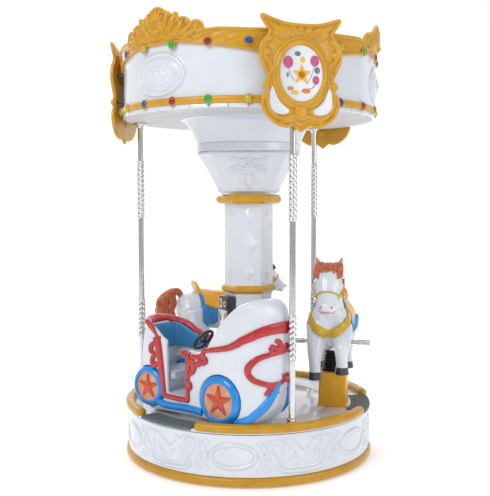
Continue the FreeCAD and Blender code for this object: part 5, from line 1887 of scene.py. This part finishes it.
def blanket_keep(c):
    """Whether a place on the skin lies under the blanket, which hangs lower at its middle."""
    f, z = c[0], c[2]
    edge = 0.584 + 0.018 * math.cos(f * 26) + 0.9 * max(0, abs(f + 0.005) - 0.115)
    return -0.150 < f < 0.140 and z > edge and z < 0.80


def seat_keep(c):
    """Whether a place on the skin lies under the saddle's flaps."""
    f, z = c[0], c[2]
    return -0.130 < f < 0.104 and 0.648 + 2.1 * (f + 0.01) ** 2 < z < 0.80


fine = 0.0036
blanket = melt(over_skin(SKIN, blanket_keep, 0.0085), fine, 7)
seat = Clay().add(over_skin(SKIN, seat_keep, 0.0150))
seat.add(
    barrel(
        [
            (-0.130, 0.722, 0.066, 0.014, 30), (-0.146, 0.748, 0.070, 0.013, 55),
            (-0.158, 0.778, 0.064, 0.010, 68), (-0.164, 0.798, 0.048, 0.006, 70),
        ],
        28,
    )
)
seat.add(
    barrel(
        [
            (0.070, 0.722, 0.050, 0.022, -60), (0.074, 0.748, 0.036, 0.018, -75),
            (0.077, 0.770, 0.022, 0.015, -80), (0.079, 0.790, 0.018, 0.014, -85),
            (0.080, 0.800, 0.008, 0.007, -85),
        ],
        28,
    )
)
seat.add(
    barrel(
        [
            (-0.134, 0.738, 0.054, 0.018, 10), (-0.080, 0.734, 0.058, 0.014, 0),
            (0.0, 0.730, 0.050, 0.012, 0), (0.050, 0.734, 0.044, 0.014, -8),
            (0.070, 0.744, 0.034, 0.014, -10),
        ],
        28,
    )
)
seat_mesh = melt(seat.mesh(), fine, 5)


def ring_round(rows, position, grow):
    """A strap that follows a barrel's section at a position along its rows."""
    line = smooth_line(rows, 20)
    i = int(position * (len(line) - 1))
    f, z, w, h, lean = line[i]
    a = np.linspace(0, 2 * math.pi, 60, endpoint=False)
    up = np.array([math.sin(math.radians(lean)), 0, math.cos(math.radians(lean))])
    return np.array([f, 0, z]) + np.cos(a)[
        :, None,
    ] * np.array([0, w + grow, 0]) + np.sin(a)[:, None] * up * (h + grow)


horse_walls = BVHTree.FromPolygons([tuple(p) for p in SKIN[0]], SKIN[1])


def on_horse(points, lift=0.0):
    """The nearest places on the horse's skin, lifted so far off it."""
    out = []
    for p in points:
        hit, normal, _, _ = horse_walls.find_nearest(Vector(tuple(float(v) for v in p)))
        out.append(hit + normal * lift)
    return np.array(out)


COLLAR = smooth_line(
    [
        (0.235, 0.0, 0.606), (0.222, 0.040, 0.630), (0.186, 0.080, 0.668), (0.146, 0.098, 0.706),
        (0.104, 0.082, 0.742), (0.070, 0.045, 0.768),
    ],
    6,
)
COLLAR_ON_SKIN = on_horse(COLLAR)


def collar_keep(c):
    """Whether a place on the skin lies under the band round the chest."""
    return np.linalg.norm(COLLAR_ON_SKIN - (c[0], abs(c[1]), c[2]), axis=1).min() < 0.021


def straps():
    """Bridle and reins."""
    clay = Clay()
    clay.add(tube(on_horse(ring_round(HEAD, 0.56, 0.002), 0.0012), 0.0042, sides=9, closed=True))
    clay.add(tube(on_horse(ring_round(HEAD, 0.14, 0.004), 0.0012), 0.0042, sides=8, closed=True))
    for side in (-1, 1):
        cheek = smooth_line(
            [
                (0.282, side * 0.050, 0.800), (0.256, side * 0.066, 0.820), (0.226, side * 0.072, 0.846),
                (0.204, side * 0.064, 0.874), (0.190, side * 0.052, 0.892),
            ],
            6,
        )
        clay.add(tube(on_horse(cheek, 0.0012), 0.0040, sides=8))
        rein = smooth_line(
            [
                (0.282, side * 0.050, 0.796), (0.240, side * 0.070, 0.786), (0.190, side * 0.072, 0.788),
                (0.130, side * 0.060, 0.794), (0.080, side * 0.022, 0.792),
            ],
            7,
        )
        clay.add(tube(rein, 0.0032, sides=8))
        clay.add(blob(on_horse([(0.282, side * 0.052, 0.798)], 0.001)[0], (0.008, 0.006, 0.008)))
    return clay.mesh()


def mane():
    """Mane, forelock and tail in thick locks."""
    clay = Clay()
    rows = 15
    for i in range(rows):
        t = i / (rows - 1)
        root = np.array([0.078 + 0.100 * t, 0.0, 0.758 + 0.156 * t])
        back = np.array([-0.020 - 0.006 * math.sin(i), 0.0, 0.010])
        for side, spread in ((1, 0.030), (-1, 0.016)):
            fall = 0.060 + 0.012 * math.sin(i * 2.1)
            sway = 0.012 * math.sin(i * 1.7 + side)
            path = [
                (*(root + (0.010, side * 0.002, 0.006)), 0.010),
                (*(root + back + (0, side * spread * 0.7, 0.004)), 0.0135),
                (*(root + back * 1.2 + (-0.004 + sway, side * spread * 1.4, -fall * 0.45)), 0.0115),
                (*(root + back + (0.004 + sway * 0.4, side * spread * 1.55, -fall)), 0.0035),
            ]
            clay.add(limb(path, 5, 10, 0.7))
    for i, side in enumerate((-1.0, -0.72, -0.42, -0.12, 0.18, 0.46, 0.74, 1.0)):
        fall = 0.862 + 0.010 * math.cos(i * 2.6) + 0.052 * (1 - abs(side))
        line = [
            (0.178, side * 0.034, 0.930), (0.210, side * 0.050, 0.932),
            (0.240, side * 0.056, 0.5 * (0.932 + fall)),
            (0.268, side * 0.056 + 0.004 * math.sin(i * 3), fall),
        ]
        path = np.column_stack([on_horse(line, 0.004), (0.016, 0.0165, 0.013, 0.004)])
        clay.add(limb(path, 5, 10, 0.7))
    for i in range(13):
        across = i / 6 - 1
        w = 0.012 * (-1) ** i * math.sqrt(1 - 0.8 * across**2)
        wave = 0.007 * math.sin(i * 1.9)
        path = [
            (-0.222, w * 0.4, 0.704 + 0.010 * across, 0.010),
            (-0.246, w * 0.7, 0.738 + 0.012 * across, 0.013), (-0.282 - 0.012 * across, w, 0.748, 0.0145),
            (-0.312 - 0.034 * across, w * 1.2, 0.722 - 0.012 * across, 0.0150),
            (-0.312 - 0.042 * across + wave, w * 1.3, 0.684, 0.0150),
            (-0.322 - 0.040 * across - wave, w * 1.3, 0.644, 0.0145),
            (-0.314 - 0.042 * across + wave, w * 1.2, 0.606, 0.0120),
            (-0.326 - 0.036 * across, w, 0.572 + wave, 0.003),
        ]
        clay.add(limb(path, 5, 10, 0.8))
    return melt(clay.mesh(), 0.0028, 1, 0.35)


def hooves():
    """Four flared hooves."""
    clay = Clay()
    for leg in LEGS:
        f, s, z, _ = leg[-1]
        before = leg[-2]
        slope = (f - before[0]) / (before[2] - z + 1e-6)
        rings = []
        a = np.linspace(0, 2 * math.pi, 28, endpoint=False)
        for drop, r in (
            (-0.006, 0.016), (-0.004, 0.0300), (0.002, 0.0315), (0.014, 0.0330), (0.026, 0.0360),
            (0.0315, 0.0355), (0.032, 0.026),
        ):
            rings.append(
                np.stack(
                    [
                        f + slope * drop * 0.6 + r * 1.05 * np.cos(a), s + r * 0.92 * np.sin(a),
                        z - drop + 0 * a,
                    ],
                    1,
                )
            )
        clay.add(skin_sections(rings))
    return clay.mesh()


def eyes():
    """Eyes with lashes, pink ears, nostrils and lips."""
    whites, pupils, pinks = Clay(), Clay(), Clay()
    for f, s, z in on_horse(EYES):
        way = 1 if s > 0 else -1
        whites.add(blob((f + 0.001, s, z), (0.0150, 0.0080, 0.0115)))
        pupils.add(blob((f + 0.005, s + way * 0.0036, z - 0.0005), (0.0105, 0.0066, 0.0095)))
        lash = [
            (f - 0.014, s, z + 0.002), (f - 0.003, s + way * 0.002, z + 0.010), (f + 0.010, s, z + 0.008),
        ]
        pupils.add(tube(on_horse(smooth_line(lash, 6), 0.0045), np.linspace(0.0024, 0.0038, 13), sides=7))
        pinks.add(
            limb(
                [
                    (0.208, way * 0.040, 0.912, 0.008), (0.212, way * 0.047, 0.931, 0.0130),
                    (0.213, way * 0.054, 0.950, 0.009), (0.212, way * 0.060, 0.965, 0.003),
                ],
                sides=12, squash=0.8,
            )
        )
        pinks.add(blob(on_horse([(0.366, way * 0.024, 0.756)])[0], (0.0045, 0.0060, 0.0068)))
    lips = smooth_line(
        [
            (0.316, 0.044, 0.722), (0.340, 0.032, 0.714), (0.362, 0.0, 0.716), (0.340, -0.032, 0.714),
            (0.316, -0.044, 0.722),
        ],
        8,
    )
    lips = on_horse(lips, 0.0004)
    for _ in range(3):
        lips[1:-1] = (lips[:-2] + 2 * lips[1:-1] + lips[2:]) / 4
    pinks.add(tube(lips, 0.0042, sides=8))
    return whites, pupils, pinks


def footrest():
    """The bar across the horse and its ribbed grips."""
    bar, grips = Clay(), Clay()
    bar.add(tube([(0.052, -0.130, 0.552), (0.052, 0.130, 0.552)], 0.0085, sides=24))
    for side in (-1, 1):
        rings = [(0.124, 0.0120), (0.1255, 0.0132), (0.128, 0.0132)]
        for i in range(9):
            rings += [
                (0.1300 + 0.0056 * i, 0.0112), (0.1320 + 0.0056 * i, 0.0124), (0.1340 + 0.0056 * i, 0.0124),
            ]
        rings += [(0.182, 0.0130), (0.1845, 0.0122), (0.185, 0.006)]
        a = np.linspace(0, 2 * math.pi, 28, endpoint=False)
        sections = [
            np.stack([0.052 + r * np.cos(a), np.full(28, side * y), 0.552 + r * np.sin(a)], 1)
            for y, r in rings
        ]
        grips.add(skin_sections(sections))
    return bar, grips


mane_mesh, hoof_mesh, strap_mesh = mane(), hooves(), straps()
collar_mesh = melt(over_skin(SKIN, collar_keep, 0.0075), fine, 9)
white_eyes, dark_eyes, pink_parts = eyes()
bar_mesh, grip_mesh = footrest()
for key in ("1", "2"):
    azimuth, body = STATIONS[key], f"horse_{key}"

    def fit(mesh, a=azimuth):
        return turn(at_horse(mesh[0]), a), [tuple(reversed(f)) for f in mesh[1]]

    piece(f"horse_skin_{key}", fit(SKIN), body, WHITE, replaces=[f"horse_body_{key}"])
    piece(f"blanket_{key}", fit(blanket), body, CLOTH_BLUE)
    piece(
        f"saddle_seat_{key}", fit(seat_mesh), body, SADDLE, replaces=[f"saddle_{key}"],
    )
    piece(
        f"mane_and_tail_{key}", fit(mane_mesh), body, HAIR, replaces=[f"mane_tail_{key}"],
    )
    piece(f"hooves_{key}", fit(hoof_mesh), body, HOOF, sharp=50)
    piece(f"straps_{key}", fit(strap_mesh), body, STRAP, sharp=50)
    piece(f"collar_{key}", fit(collar_mesh), body, STRAP)
    piece(f"eye_whites_{key}", fit(white_eyes.mesh()), body, WHITE)
    piece(f"eyes_{key}", fit(dark_eyes.mesh()), body, HOOF)
    piece(f"ears_and_lips_{key}", fit(pink_parts.mesh()), body, PINK)
    piece(
        f"footrest_bar_{key}", fit(bar_mesh.mesh()), body, CHROME, sharp=50, replaces=[f"footrest_{key}"],
    )
    piece(f"footrest_grips_{key}", fit(grip_mesh.mesh()), body, CHROME, sharp=50)


# ---- stage, light and camera ------------------------------------------------------------------


def sweep_backdrop():
    """A pale floor that curves up into a wall behind the object."""
    line = [(-9.0, -0.0005), (3.2, -0.0005)]
    line += [(3.2 + 1.6 * math.sin(t), 1.6 - 1.6 * math.cos(t)) for t in np.linspace(0.1, math.pi / 2, 14)]
    line += [(4.8, 6.0)]
    points = [(x, y, z) for y, z in line for x in (-9.0, 9.0)]
    faces = [(2 * i, 2 * i + 1, 2 * i + 3, 2 * i + 2) for i in range(len(line) - 1)]
    data = bpy.data.meshes.new("backdrop")
    data.from_pydata(points, [], faces)
    data.polygons.foreach_set("use_smooth", [True] * len(data.polygons))
    paper = finish(
        "backdrop_paper", (0.88, 0.88, 0.88), (0.85, 0.85, 0.85), 0.75, grain=2, fine=60, bump=0.02,
    )
    glow = paper.node_tree.nodes["Principled BSDF"]
    glow.inputs["Emission Color"].default_value = (1, 1, 1, 1)
    glow.inputs["Emission Strength"].default_value = 0.30
    data.materials.append(paper)
    ob = bpy.data.objects.new("backdrop", data)
    bpy.context.scene.collection.objects.link(ob)
    return ob


sweep_backdrop()


def softbox(name, at, target, size, power):
    """A flat lamp that faces its target."""
    data = bpy.data.lights.new(name, "AREA")
    data.shape = "RECTANGLE"
    data.size, data.size_y = size
    data.energy = power
    ob = bpy.data.objects.new(name, data)
    ob.location = at
    ob.rotation_euler = (Vector(target) - Vector(at)).to_track_quat("-Z", "Y").to_euler()
    bpy.context.scene.collection.objects.link(ob)
    return ob


softbox("key", (-2.6, -3.6, 4.4), (0, 0, 1.0), (2.6, 2.2), 105)
softbox("fill", (3.6, -2.6, 2.4), (0, 0, 0.9), (2.4, 2.6), 38)
softbox("top", (0.2, 0.6, 4.6), (0, 0, 1.0), (3.0, 3.0), 45)
softbox("rim", (-1.5, 3.2, 3.2), (0, 0, 1.2), (2.4, 2.0), 36)

world = bpy.data.worlds.new("studio")
world.use_nodes = True
world.node_tree.nodes["Background"].inputs["Color"].default_value = (1, 1, 1, 1)
world.node_tree.nodes["Background"].inputs["Strength"].default_value = 0.50
bpy.context.scene.world = world
bpy.context.scene.view_settings.view_transform = "Standard"

camera = bpy.data.objects.new("camera", bpy.data.cameras.new("camera"))
camera.location = (0.0, -3.95, 1.2267)
camera.rotation_euler = (math.radians(86.60), 0, math.radians(0.26))
camera.data.sensor_width = 36
camera.data.lens = 58.5
camera.data.clip_end = 60
bpy.context.scene.collection.objects.link(camera)
bpy.context.scene.camera = camera
